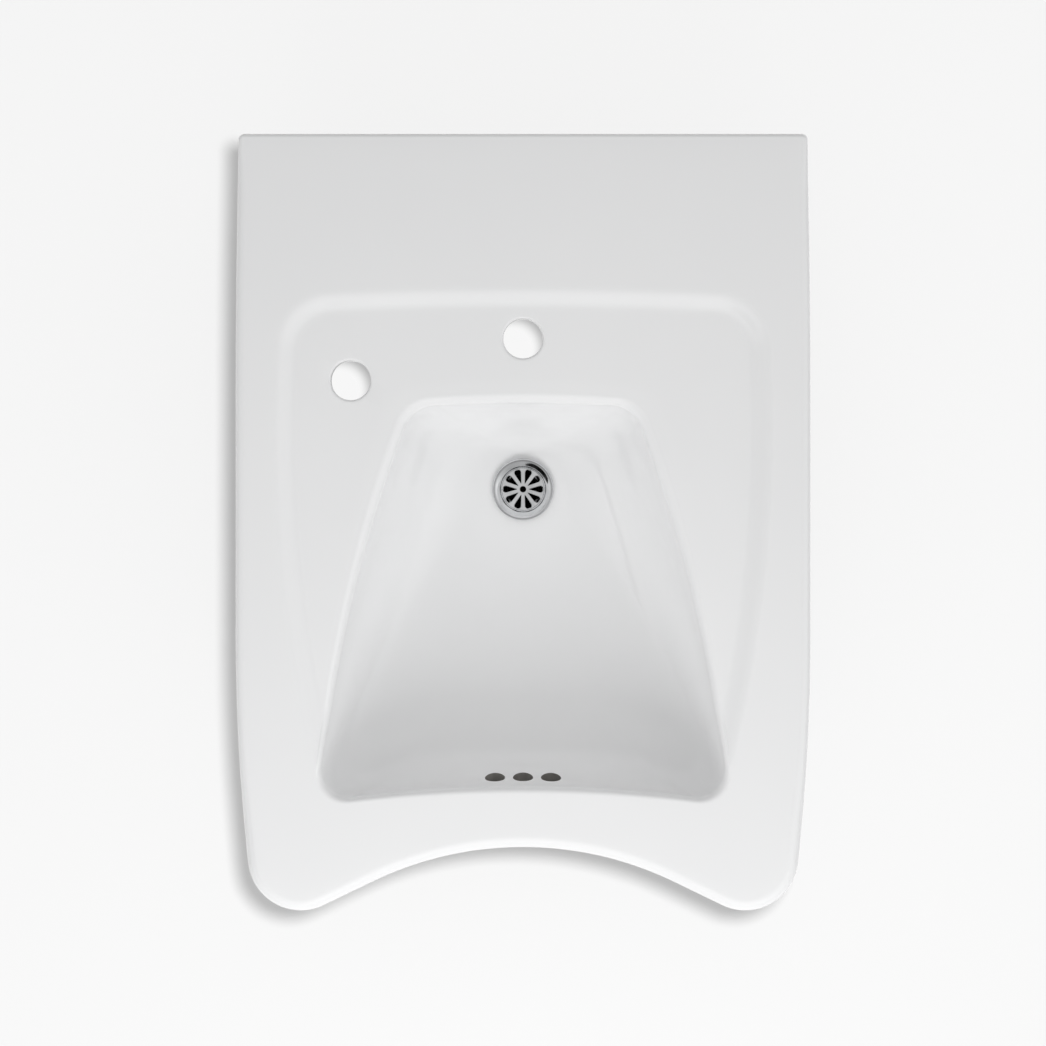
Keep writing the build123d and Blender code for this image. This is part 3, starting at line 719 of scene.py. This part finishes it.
# %% Ribs and lugs
LUG_Y = -340.0
loops = []
for side in (-1, 1):
    for reach, top in ((182.0, 64.0), (247.0, 6.0)):
        near, far = sorted((side * 172.0, side * reach))
        loops.append((box_with_soft_edges((near, LUG_Y - 30, -6.0), (far, LUG_Y + 30, top), 1.5), "capped"))
basin = shaped(basin, "UNION", surface("loops", loops))
bores = [(turned([(8.0, -12.0), (8.0, 12.0)], (side * ARM_X, LUG_Y, 0.0), 48), "capped") for side in (-1, 1)]
basin = shaped(basin, "DIFFERENCE", surface("bores", bores))
print("china with its loops:", len(basin.data.polygons), "faces")
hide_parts("basin")
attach(basin, "root")

# %% [markdown]
# Three overflow holes high in the front wall lead into a passage inside the casting. No glaze runs in there, and
# hardly any light: a hole into a closed space is the darkest thing on a white object. So the passage is really hollowed
# out behind the wall, in bare clay, and the holes are drilled into it. That clay is coloured far darker than the bare
# body outside, as painted shade on top of the real shade in there.

# %% Overflow holes and passage
# Painted shade: this clay is about a third as light as the bare body at the foot, so that the holes read dark.
painted_shade_clay = finish("clay_in_painted_shade", ((500.0, 0.4, 0.0002),), (80.0, (0.16, 0.15, 0.14), (0.26, 0.25, 0.23)),
              (120.0, 0.8, 0.95))


def wall_at(depth, grow, across):
    """Where the front wall, moved out by grow, is at a depth for each place across."""
    front = bowl_level(depth, grow)[-160:]
    return np.interp(np.abs(across), front[::-1, 0], front[::-1, 1])


across = np.linspace(-37, 37, 24)
passage_rows = []
for depth in np.linspace(22.5, 66, 14):
    near_wall, far_wall = wall_at(depth, 10.0, across), wall_at(depth, 26.0, across)
    loop = np.concatenate([np.column_stack([across, near_wall]), np.column_stack([across, far_wall])[::-1]])
    passage_rows.append(np.column_stack([loop, np.full(len(loop), RIM_Z - depth)]))
HOLE_DEPTH = 32.0
hollows = [(np.array(passage_rows), "capped")]
for x in (-25.0, 0.0, 25.0):
    hole = turned([(9.0, 12.0), (9.0, -14.0)], (x, wall_at(HOLE_DEPTH, 0.0, x), RIM_Z - HOLE_DEPTH), 64, lying=True)
    hollows.append((hole, "capped"))
passage = surface("passage", hollows[:1])
passage.data.materials.append(painted_shade_clay)
holes = shaped(passage, "UNION", surface("overflow_holes", hollows[1:]))
for slot in range(len(holes.data.materials)):
    holes.data.materials[slot] = painted_shade_clay
basin = shaped(basin, "DIFFERENCE", holes)
print("china with its overflow:", len(basin.data.polygons), "faces")

# %% [markdown]
# The drain is turned brass with a polished chrome plate. Its flange is a flat ring that falls as a cone to the
# grid, and its shank is a screw thread that passes through both floors of the china. A thread is a surface too:
# the radius at each point depends on how far the helix has turned and climbed there.

# %% Drain body
LANDING_Z = -35.0
DRAIN = (0.0, DRAIN_Y, LANDING_Z)


def softened(profile, radius, steps=4):
    """A closed or open profile whose corners are replaced by short curves (each corner's own quadratic arc)."""
    profile = np.array(profile, float)
    made = [profile[:1]]
    share = np.linspace(0, 1, steps)[:, None]
    for before, corner, after in zip(profile[:-2], profile[1:-1], profile[2:]):
        start = corner + (before - corner) * min(radius / np.hypot(*(before - corner)), 0.45)
        end = corner + (after - corner) * min(radius / np.hypot(*(after - corner)), 0.45)
        made.append((1 - share)**2 * start + 2 * share * (1 - share) * corner + share**2 * end)
    made.append(profile[-1:])
    return np.concatenate(made)


def threaded(radius, depth, pitch, low, high, centre, columns=72, per_pitch=6):
    """A screw thread: the radius falls by the depth in a triangle wave of height minus helix turn, and the thread
    fades out at both ends."""
    height = np.linspace(low, high, int((high - low) / pitch * per_pitch) + 1)[:, None]
    a = full_turn(columns)[None, :]
    phase = (height / pitch - a / (2 * np.pi)) % 1
    wave = np.abs(2 * phase - 1)
    fade = smooth_step((height - low) / pitch) * smooth_step((high - height) / pitch)
    r = radius - depth * (1 - wave) * fade
    return np.stack([r * np.cos(a), r * np.sin(a), height + 0 * a], -1) + np.array(centre)


upper = softened([(15.0, -30.0), (16.2, -14.0), (18.2, -9.0), (18.2, -3.5), (19.5, -3.5), (19.5, -2.0), (20.7, -1.4),
                  (21.2, 1.4), (25.6, 3.7), (27.6, 4.0), (28.5, 2.9), (28.5, 1.5), (24.5, 1.5), (24.5, 0.0),
                  (20.5, -4.0), (20.5, -8.0)], 0.7)
lower = [(20.5, -64.0), (16.5, -64.0), (16.5, -50.5), (15.0, -50.5), (15.0, -31.0)]
body_grid = np.concatenate([turned(upper, DRAIN, 72), threaded(20.5, 1.1, 2.2, -63.0, -8.2, DRAIN)[::-1],
                            turned(lower, DRAIN, 72)])
drain_body = surface("drain_flange_and_shank", [(body_grid, "torus")])
ports = []
circle = full_turn(32)[:, None]
for turn in np.radians([45, 135, 225, 315]):
    ahead = np.array([np.cos(turn), np.sin(turn), 0])
    aside = np.array([-np.sin(turn), np.cos(turn), 0])
    rim = 4.0 * (np.cos(circle) * aside + np.sin(circle) * np.array([0, 0, 1.0])) + np.array(DRAIN) + (0, 0, -16.0)
    ports.append((np.stack([rim + ahead * 12.0, rim + ahead * 24.0]), "capped"))
drain_body = shaped(drain_body, "DIFFERENCE", surface("ports", ports))
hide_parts("drain_body")
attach(drain_body, "root")
print("drain body:", len(drain_body.data.polygons), "faces")

# %% [markdown]
# The grid is a disc with ten drop-shaped slots round a small hole. One slot and the wedge of metal round it make
# a cell, and ten cells make the disc. A cell is a surface in two parameters: one runs round the slot, the other
# leads from the lower face, up through the slot's wall with its soft edges, and out over the upper face to the
# cell's border.

# %% Strainer grid
SLOTS = 10
GRID_TOP = -2.0
END_AT, END_RADIUS, TIP_AT = 15.95, 2.95, 5.3
HUB_HOLE, DISC = 2.95, 19.5
lean = np.arcsin(END_RADIUS / (END_AT - TIP_AT))
shoulder = np.array([END_AT - END_RADIUS * np.sin(lean), END_RADIUS * np.cos(lean)])
mirrored = np.array([1, -1])
drop = np.concatenate([arc((END_AT, 0), END_RADIUS, -np.pi / 2 - lean, np.pi / 2 + lean, 60),
                       line(shoulder, (TIP_AT, 0), 40)[1:],
                       line((TIP_AT, 0), shoulder * mirrored, 40)[1:-1]])
half_cell = np.pi / SLOTS
ray = np.array([np.cos(half_cell), np.sin(half_cell)])
border = np.concatenate([arc((0, 0), DISC, -half_cell, half_cell, 40),
                         line(DISC * ray, HUB_HOLE * ray, 40)[1:],
                         arc((0, 0), HUB_HOLE, half_cell, -half_cell, 20)[1:],
                         line(HUB_HOLE * ray * mirrored, DISC * ray * mirrored, 40)[1:-1]])


def about_point(outline, point, angles):
    """Distance of a closed outline from a point, in each direction."""
    seen = np.arctan2(outline[:, 1] - point[1], outline[:, 0] - point[0])
    order = np.argsort(seen)
    reach = np.hypot(outline[:, 0] - point[0], outline[:, 1] - point[1])
    return np.interp(angles, seen[order], reach[order], period=2 * np.pi)


eye = np.array([13.0, 0.0])
round_angles = np.sort(np.concatenate([np.linspace(-np.pi, np.pi, 96, endpoint=False),
                                       [np.arctan2(s * r * np.sin(half_cell), r * np.cos(half_cell) - eye[0])
                                        for s in (-1, 1) for r in (DISC, HUB_HOLE)]]))
slot_reach = about_point(drop, eye, round_angles)
border_reach = about_point(border, eye, round_angles)
toward = np.stack([np.cos(round_angles), np.sin(round_angles)], -1)
SOFT = 0.35
THICK = 1.5
SHARP = np.radians(35)
profile = [(1.0, -THICK, SOFT), (0.5, -THICK, SOFT), (0.0, -THICK, SOFT)]
profile += [(0.0, -THICK + SOFT * (1 - np.cos(a)), SOFT * (1 - np.sin(a))) for a in np.linspace(0.4, np.pi / 2, 4)]
profile += [(0.0, -SOFT + SOFT * np.sin(a), SOFT * (1 - np.cos(a))) for a in np.linspace(0, np.pi / 2, 5)]
profile += [(0.15, 0.0, SOFT), (0.5, 0.0, SOFT), (1.0, 0.0, SOFT)]
cell_rows = []
for share, height, out in profile:
    start = slot_reach + np.minimum(out, (border_reach - slot_reach) * 0.4)
    radius = mix(start, border_reach, share)
    flat = eye + radius[:, None] * toward
    cell_rows.append(np.column_stack([flat, np.full(len(flat), height)]))
cell = np.array(cell_rows)
cells = []
for k in range(SLOTS):
    turn = 2 * np.pi * k / SLOTS
    spin = np.array([[np.cos(turn), np.sin(turn), 0], [-np.sin(turn), np.cos(turn), 0], [0, 0, 1]])
    cells.append((cell @ spin + np.array(DRAIN) + (0, 0, GRID_TOP), "torus"))
strainer = surface("strainer_disc", cells)
strainer.data.set_sharp_from_angle(angle=SHARP)
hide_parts("strainer_grid")
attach(strainer, "root")
print("strainer:", len(strainer.data.polygons), "faces")

# %% [markdown]
# Chrome is a mirror with a faintly blue tone. What makes it look like metal from a plating shop, and not like
# a mirror of glass, is the polish: fine marks that follow no direction, and slow changes in how sharp it is.

# %% Chrome
chrome = finish("polished_chrome", ((60.0, 0.12, 0.0004), (900.0, 0.06, 0.00004)),
                (70.0, (0.60, 0.608, 0.618), (0.70, 0.708, 0.716)), (160.0, 0.05, 0.16), Metallic=1.0)
for piece in (drain_body, strainer):
    piece.data.materials.append(chrome)
print("finish:", chrome.name)

# %% [markdown]
# Finishes of the hidden fittings. Rubber is nearly black, dull and a little dusty. The moulded plastic is
# milky and lets some light in. Cast brass is blotched where fingers touched it, and zinc plate is cloudy, because each
# crystal of zinc takes the light its own way.

# %% Finishes of the fittings
rubber = finish("black_rubber", ((140.0, 0.25, 0.0003), (1800.0, 0.35, 0.00006)),
                (90.0, (0.022, 0.022, 0.024), (0.055, 0.055, 0.058)), (220.0, 0.55, 0.80))
plastic = finish("milky_plastic", ((120.0, 0.15, 0.0003), (1500.0, 0.20, 0.00003)),
                 (60.0, (0.74, 0.74, 0.71), (0.82, 0.82, 0.79)), (200.0, 0.32, 0.48),
                 IOR=1.5, Subsurface_Weight=0.15, Subsurface_Scale=0.002)
brass = finish("yellow_brass", ((200.0, 0.20, 0.0002), (2200.0, 0.30, 0.00004)),
               (80.0, (0.55, 0.38, 0.15), (0.78, 0.60, 0.30)), (130.0, 0.22, 0.46), 6.0, Metallic=1.0)
zinc = finish("zinc_plate", ((300.0, 0.15, 0.0001), (2500.0, 0.25, 0.00003)),
              (260.0, (0.50, 0.52, 0.55), (0.70, 0.71, 0.70)), (180.0, 0.26, 0.48), 6.0, Metallic=1.0)
sealant = finish("grey_sealant", ((220.0, 0.5, 0.0004), (1400.0, 0.2, 0.00005)),
                 (120.0, (0.42, 0.42, 0.41), (0.56, 0.56, 0.55)), (200.0, 0.35, 0.55))
FINISHES = {"black_rubber": rubber, "white_plastic": plastic, "yellow_brass": brass, "zinc_steel": zinc,
            "chrome_plate": chrome}
print("finishes of the fittings:", len(FINISHES))

# %% [markdown]
# Under the china, the drain is held by a rubber cone, a plastic washer that lets the nut slide while it is turned,
# and a brass nut. The tube that goes on to the trap screws into the shank. Turned pieces are a profile about the
# drain's axis. A nut's side is the smaller of two distances: to the flat of a hexagon, and to a cone that cuts the
# corners off, as on a lathe.

# %% Hexagons, rings and placed pieces
def hexagon_side(flats, low, high, cut_low=True, cut_high=True, columns=72):
    """Up the side of a hexagon: the smaller of its own reach and a 30 degree cone that starts inside the end face."""
    a = full_turn(columns)
    reach = flats / 2 / np.cos(a % (np.pi / 3) - np.pi / 6)
    face = 0.475 * flats
    slope = np.tan(np.radians(30))
    climbs = np.linspace(0, (reach.max() - face) * slope, 7)
    cut = [(np.minimum(reach, face + climb / slope), climb) for climb in climbs]
    below = [(radius, low + climb) for radius, climb in cut] if cut_low else [(reach, low)]
    above = [(radius, high - climb) for radius, climb in cut[::-1]] if cut_high else [(reach, high)]
    return below + above


def placed(name, node_name, slot, parts):
    """A finished piece from closed parts: it stands for one measured node, rides on the body and takes a finish."""
    piece = surface(name, parts)
    piece.data.set_sharp_from_angle(angle=SHARP)
    piece.data.materials.append(FINISHES[slot])
    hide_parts(node_name)
    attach(piece, "root")
    print(name, len(piece.data.polygons), "faces")


def soft_ring(profile, soft, centre):
    """A ring of one closed profile with softened corners, turned about an upright axis."""
    return [(turned(softened(profile, soft), centre), "torus")]


# %% Rings, nut and tube under the drain
BELOW = (0.0, DRAIN_Y, 0.0)
placed("cone_gasket_ring", "cone_gasket", "black_rubber", soft_ring(
    [(20.5, -70.0), (20.5, -77.0), (25.8, -77.0), (29.9, -72.0), (29.9, -69.8), (29.4, -69.4), (29.9, -69.0),
     (29.9, -67.05), (22.0, -67.05), (21.0, -62.0), (20.5, -62.0), (20.5, -70.0)], 0.5, BELOW))
placed("slip_washer", "friction_washer", "white_plastic", soft_ring(
    [(20.5, -78.0), (20.5, -79.0), (28.0, -79.0), (28.0, -77.0), (20.5, -77.0), (20.5, -78.0)], 0.35, BELOW))
nut_rows = [(20.5, -88.2), (21.3, -89.0)] + hexagon_side(54.0, -89.0, -79.0, cut_high=False) + [(20.5, -79.0)]
placed("shank_nut", "drain_locknut", "yellow_brass", [(turned(nut_rows, BELOW, 72), "torus")])
tube = [turned([(16.5, -98.9), (15.875, -99.4), (15.875, -150.0), (15.875, -200.6), (15.6, -201.0), (14.85, -201.0),
                (14.575, -200.6), (14.575, -150.0), (14.575, -87.4), (14.8, -87.0), (16.0, -87.0)], BELOW, 72),
        threaded(16.5, 0.8, 2.0, -98.4, -87.4, BELOW)[::-1]]
placed("trap_tube", "tailpiece", "chrome_plate", [(np.concatenate(tube), "torus")])
for node_name, coat in (("flange_seal", sealant), ("tailpiece_seal", rubber)):
    nodes[node_name].data.materials.clear()
    nodes[node_name].data.materials.append(coat)

# %% [markdown]
# On each arm stand two set screws, each with a screwdriver slot at its lower end, a lock nut against the arm and a
# soft plastic cap on top, which the china rests on. One lock bolt from below pulls the china's lug to the arm. A thread
# needs no picture: six rows a turn and a triangle wave give its real form.

# %% Screws, nuts and caps on the arms
for name, side in (("left", -1), ("right", 1)):
    seats = [(side * ARM_X, -165.0, 0.0), (side * ARM_X, -385.0, 0.0)]
    screws = surface(name + "_set_screws", [(np.concatenate([
        turned([(4.2, -2.0)], seat, 48), threaded(5.0, 0.8, 1.5, -1.2, 57.4, seat, 48),
        turned([(4.2, 58.0)], seat, 48)]), "capped") for seat in seats])
    slots = surface(name + "_slots", [(box_with_soft_edges(np.array(seat) - (9.0, 0.8, 6.0),
                                                          np.array(seat) + (9.0, 0.8, 0.0), 0.1), "capped")
                                     for seat in seats])
    screws = shaped(screws, "DIFFERENCE", slots)
    screws.data.materials.clear()
    screws.data.materials.append(zinc)
    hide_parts(name + "_levelling_screws")
    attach(screws, "root")
    nut = [(5.0, 4.6), (5.7, 4.0)] + hexagon_side(17.0, 4.0, 10.0) + [(5.7, 10.0), (5.0, 9.4)]
    placed(name + "_lock_nuts", name + "_levelling_nuts", "zinc_steel",
           [(turned(nut, seat, 72), "torus") for seat in seats])
    cap = softened([(5.0, 58.0), (5.0, 55.0), (9.4, 55.0), (10.0, 57.5), (9.4, 60.0), (7.0, 60.0)], 0.5)
    placed(name + "_soft_caps", name + "_levelling_pads", "white_plastic",
           [(turned(cap, seat, 48), "capped") for seat in seats])
    lug_at = (side * ARM_X, LUG_Y, 0.0)
    placed(name + "_cushion_ring", name + "_lock_cushion", "black_rubber", soft_ring(
        [(6.0, -8.0), (6.0, -10.0), (17.4, -10.0), (18.0, -8.0), (17.4, -6.0), (6.0, -6.0), (6.0, -8.0)], 0.5, lug_at))
    placed(name + "_wide_washer", name + "_lock_washer", "zinc_steel", soft_ring(
        [(6.0, -11.5), (6.0, -13.0), (18.0, -13.0), (18.0, -10.0), (6.0, -10.0), (6.0, -11.5)], 0.4, lug_at))
    bolt = [(8.0, -21.0)] + hexagon_side(19.0, -21.0, -13.0, cut_high=False) + [(6.4, -13.0)]
    placed(name + "_hex_bolt", name + "_lock_bolt", "zinc_steel", [(np.concatenate([
        turned(bolt, lug_at, 72), threaded(6.0, 0.95, 1.75, -12.8, 29.4, lug_at),
        turned([(5.0, 30.0)], lug_at, 72)]), "capped")])

# %% [markdown]
# The two support arms are iron castings in dark paint. The measured arm already has the right form, so a copy of it
# is used: its loose triangles are merged, its flat faces joined, and a bevel rounds every sharp edge, as the foundry's
# mould does. The sand of the mould shows through the paint as a fine grain, and the paint is worn to the metal in
# a few small spots.

# %% Support arms
import bmesh

arm_finish, tree, shader, node = new_material("painted_casting")
place = noise_bump(tree, node, shader, ((260.0, 0.45, 0.0005), (1100.0, 0.45, 0.0002)))
varied(tree, node, place, shader.inputs["Roughness"], 90.0, list(zip(SPREAD, (0.38, 0.62))))
varied(tree, node, place, shader.inputs["Base Color"], 55.0,
       ((0.35, (0.15, 0.155, 0.165)), (0.62, (0.20, 0.21, 0.22)), (0.72, (0.36, 0.36, 0.36))), 8.0)

for name in ("left", "right"):
    cast = nodes[name + "_support_arm"].data.copy()
    work = bmesh.new()
    work.from_mesh(cast)
    bmesh.ops.remove_doubles(work, verts=work.verts, dist=0.000005)
    bmesh.ops.dissolve_limit(work, angle_limit=np.radians(0.5), verts=work.verts, edges=work.edges)
    work.to_mesh(cast)
    work.free()
    cast.materials.clear()
    cast.materials.append(arm_finish)
    arm = linked(name + "_cast_arm", cast)
    cast.shade_smooth()
    cast.set_sharp_from_angle(angle=np.radians(30))
    rounding = arm.modifiers.new("mould_rounding", "BEVEL")
    rounding.width = 0.0011
    rounding.segments = 3
    rounding.limit_method = "ANGLE"
    rounding.angle_limit = np.radians(40)
    rounding.use_clamp_overlap = True
    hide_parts(name + "_support_arm")
    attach(arm, "root")
    print(arm.name, len(cast.polygons), "faces before rounding")

# %% [markdown]
# The camera looks straight down from 2.4 m above the rim, with a lens long enough to keep the sides of the sink
# nearly upright, as a catalogue picture has them.

# %% Camera
CAMERA_Y, CAMERA_AWAY = -0.3432, 2.4
camera = linked("camera", bpy.data.cameras.new("camera"))
camera.location = (0.0, CAMERA_Y, RIM_Z * MM + CAMERA_AWAY)
camera.data.lens = 93.75
camera.data.sensor_width = 36.0
camera.data.clip_end = 50.0
bpy.context.scene.camera = camera
print("camera height:", round(camera.location.z, 3), "m")

# %% [markdown]
# The studio is a room of soft light: brighter at the sides and high behind the wall, darker low on the wall side.
# The world carries that light as a few broad glows, each strongest from one direction and fading all round it.

# %% World
ALL_ROUND = 0.20
GLOWS = (
    ("front", (0.0, -1.0, 0.70), 6.0, 0.36),
    ("overhead", (0.0, 0.0, 1.0), 200.0, 0.35),
    ("left", (-1.0, 0.0, 0.47), 4.0, 0.70),
    ("right", (1.0, 0.0, 0.47), 4.0, 0.93),
    ("rear", (0.0, 1.0, 0.47), 4.0, 0.18),
    ("rear_high", (0.0, 1.0, 1.73), 10.0, 0.65),
)
world = bpy.data.worlds.new("studio")
world.use_nodes = True
bpy.context.scene.world = world
sky = world.node_tree
way = sky.nodes.new("ShaderNodeTexCoord")


def worked_out(tree, operation, first, second):
    """One step of arithmetic in a node tree: each input is a number or another node's output."""
    made = tree.nodes.new("ShaderNodeMath")
    made.operation = operation
    for socket, value in zip(made.inputs, (first, second)):
        if isinstance(value, float):
            socket.default_value = value
        else:
            tree.links.new(value, socket)
    return made.outputs[0]


def glow_from(toward, sharpness, strength):
    """Light that falls off as a power of the cosine between the direction looked in and the glow's own."""
    cosine = sky.nodes.new("ShaderNodeVectorMath")
    cosine.operation = "DOT_PRODUCT"
    sky.links.new(way.outputs["Generated"], cosine.inputs[0])
    cosine.inputs[1].default_value = np.array(toward) / np.linalg.norm(toward)
    lit_side = worked_out(sky, "MAXIMUM", cosine.outputs["Value"], 0.0)
    return worked_out(sky, "MULTIPLY", worked_out(sky, "POWER", lit_side, sharpness), strength)


level = ALL_ROUND
for name, toward, sharpness, strength in GLOWS:
    level = worked_out(sky, "ADD", level, glow_from(toward, sharpness, strength))
    print("glow", name, strength)
sky.links.new(level, sky.nodes["Background"].inputs["Strength"])
sky.nodes["Background"].inputs["Color"].default_value = (1, 1, 1, 1)

# %% [markdown]
# Two lamps stand in the room. A wide one on the user's side lights the front of the china. A small one beside
# the camera lights the paper alone, and throws the sink's soft shadow to the left and down. Its light doesn't fade
# with distance, so the paper is lit evenly.

# %% Lamps
USER_SIDE_POWER = 15.0
BESIDE_CAMERA_POWER = 118.0


def lamp(name, kind, energy, location, turn=(0, 0, 0), **settings):
    """A lamp at a place, turned by Euler angles in degrees, that no mirror shows."""
    data = bpy.data.lights.new(name, kind)
    data.energy = energy
    for key, value in settings.items():
        setattr(data, key, value)
    made = linked(name, data)
    made.location = location
    made.rotation_euler = np.radians(turn)
    made.visible_glossy = False
    return made


lamp("user_side", "AREA", USER_SIDE_POWER, (0.0, -1.75, 0.95), (57.3, 0, 0), shape="RECTANGLE", size=1.8,
     size_y=0.7)
key = lamp("beside_camera", "POINT", BESIDE_CAMERA_POWER, (0.10, CAMERA_Y + 0.08, RIM_Z * MM + CAMERA_AWAY),
           shadow_soft_size=0.085)
print("lamps:", len(bpy.data.lights))

# %% [markdown]
# The paper under the sink is plain and grey, and glows just enough to come out nearly white. Below the two deck
# holes it glows more, because the photograph shows pure white through them with a soft grey edge: a spot of painted
# light, whose edge is a painted shadow. Below the drain it has neither colour nor glow: a spot of painted shade. Its
# glow is seen by the camera and in mirrors, and lights nothing.

# %% Floor
FLOOR_Z = -0.2012
SHEET = 6.0


def flat_sheet(name, corners):
    """One flat face that belongs to the studio and not to the sink."""
    mesh = bpy.data.meshes.new(name)
    mesh.from_pydata(corners, [], [list(range(len(corners)))])
    sheet = linked(name, mesh)
    return sheet


floor = flat_sheet("floor", [(x * SHEET, y * SHEET, FLOOR_Z) for x, y in ((-1, -1), (1, -1), (1, 1), (-1, 1))])
paper_only = bpy.data.collections.new("paper_only")
paper_only.objects.link(floor)
key.light_linking.receiver_collection = paper_only
key.data.use_nodes = True
lamp_tree = key.data.node_tree
falloff = lamp_tree.nodes.new("ShaderNodeLightFalloff")
falloff.inputs["Strength"].default_value = 1.0
lamp_tree.links.new(falloff.outputs["Constant"], lamp_tree.nodes["Emission"].inputs["Strength"])

# %% Paper of the floor
FLOOR_TONE = 0.15
FLOOR_GLOW = 0.37
# Painted light: the paper below each deck hole glows almost white, its spot shifted so that a painted shadow is left
# along one edge.
HOLE_PAINTED_LIGHT = 0.93
PAINTED_LIGHT_SPOTS = ((-0.0098, -0.1713, 0.0177, 0.0187), (-0.1796, -0.2125, 0.0177, 0.0187))
# A spot of painted shade: the paper below the drain has neither colour nor glow, so the drain's slots look dark.
PAINTED_SHADE_SPOT = (0.0, DRAIN_Y * MM, 0.0156, 0.0004)
paper, tree, shader, node = new_material("pale_floor")
shader.inputs["Roughness"].default_value = 0.9
shader.inputs["Specular IOR Level"].default_value = 0.0
place = node("ShaderNodeTexCoord")


def near_spot(x, y, radius, soft):
    """One inside a circle on the floor and zero outside it, with a soft edge: an S curve of the distance."""
    flat = node("ShaderNodeVectorMath", operation="MULTIPLY_ADD")
    tree.links.new(place.outputs["Object"], flat.inputs[0])
    flat.inputs[1].default_value = (1, 1, 0)
    flat.inputs[2].default_value = (-x, -y, 0)
    away = node("ShaderNodeVectorMath", operation="LENGTH")
    tree.links.new(flat.outputs[0], away.inputs[0])
    limits = {"From Min": radius, "From Max": radius + soft, "To Min": 1.0, "To Max": 0.0}
    edge = node("ShaderNodeMapRange", interpolation_type="SMOOTHSTEP", **limits)
    tree.links.new(away.outputs["Value"], edge.inputs["Value"])
    return edge.outputs["Result"]


# Masks of the painted light below the deck holes and the painted shade below the drain; the plain paper lies outside
# both.
painted_light_below_holes = worked_out(tree, "MAXIMUM", *(near_spot(*spot) for spot in PAINTED_LIGHT_SPOTS))
painted_shade_below_drain = near_spot(*PAINTED_SHADE_SPOT)
paper_outside_painted_spots = worked_out(tree, "SUBTRACT", worked_out(tree, "SUBTRACT", 1.0, painted_light_below_holes), painted_shade_below_drain)
tree.links.new(worked_out(tree, "MULTIPLY", paper_outside_painted_spots, FLOOR_TONE), shader.inputs["Base Color"])
path = node("ShaderNodeLightPath")
seen = worked_out(tree, "MAXIMUM", path.outputs["Is Camera Ray"], path.outputs["Is Glossy Ray"])
seen = worked_out(tree, "MAXIMUM", seen, path.outputs["Is Transmission Ray"])
glow = worked_out(tree, "ADD", worked_out(tree, "MULTIPLY", paper_outside_painted_spots, FLOOR_GLOW),
                  worked_out(tree, "MULTIPLY", painted_light_below_holes, HOLE_PAINTED_LIGHT))
shader.inputs["Emission Color"].default_value = (1, 1, 1, 1)
tree.links.new(worked_out(tree, "MULTIPLY", seen, glow), shader.inputs["Emission Strength"])
floor.data.materials.append(paper)
bpy.context.scene.view_settings.view_transform = "Standard"
print("floor at", FLOOR_Z, "m")

# %% [markdown]
# Polished metal looks like metal only where it has something dark to show. A photographer stands a black card beside
# the set for this: here it is seen by mirrors alone, and the cone of the drain's flange picks it up as a dark
# crescent on the side across from it.

# %% Black card
CARD_AWAY, CARD_WIDE, CARD_HIGH = 1.6, 0.95, 0.24
card_turn, card_rise = np.radians(48), np.radians(36)
upright = np.array([0.0, 0.0, 1.0])
card_ahead = np.array([-np.cos(card_turn), -np.sin(card_turn), 0.0])
card_aside = np.array([-card_ahead[1], card_ahead[0], 0.0])
card_middle = np.array(DRAIN) * MM + CARD_AWAY * (np.cos(card_rise) * card_ahead + np.sin(card_rise) * upright)
card_up = np.cos(card_rise) * upright - np.sin(card_rise) * card_ahead
round_card = full_turn(48)[:, None]
card_edge = card_middle + CARD_WIDE * np.cos(round_card) * card_aside + CARD_HIGH * np.sin(round_card) * card_up
card = flat_sheet("black_card", card_edge)
card.visible_camera = card.visible_diffuse = card.visible_shadow = card.visible_transmission = False
matt_black, tree, shader, node = new_material("matt_black")
shader.inputs["Base Color"].default_value = (0.01, 0.01, 0.01, 1)
shader.inputs["Specular IOR Level"].default_value = 0.0
card.data.materials.append(matt_black)
print("card", round(2 * CARD_WIDE, 2), "by", round(2 * CARD_HIGH, 2), "m")

# %% Finish
bpy.context.view_layer.update()
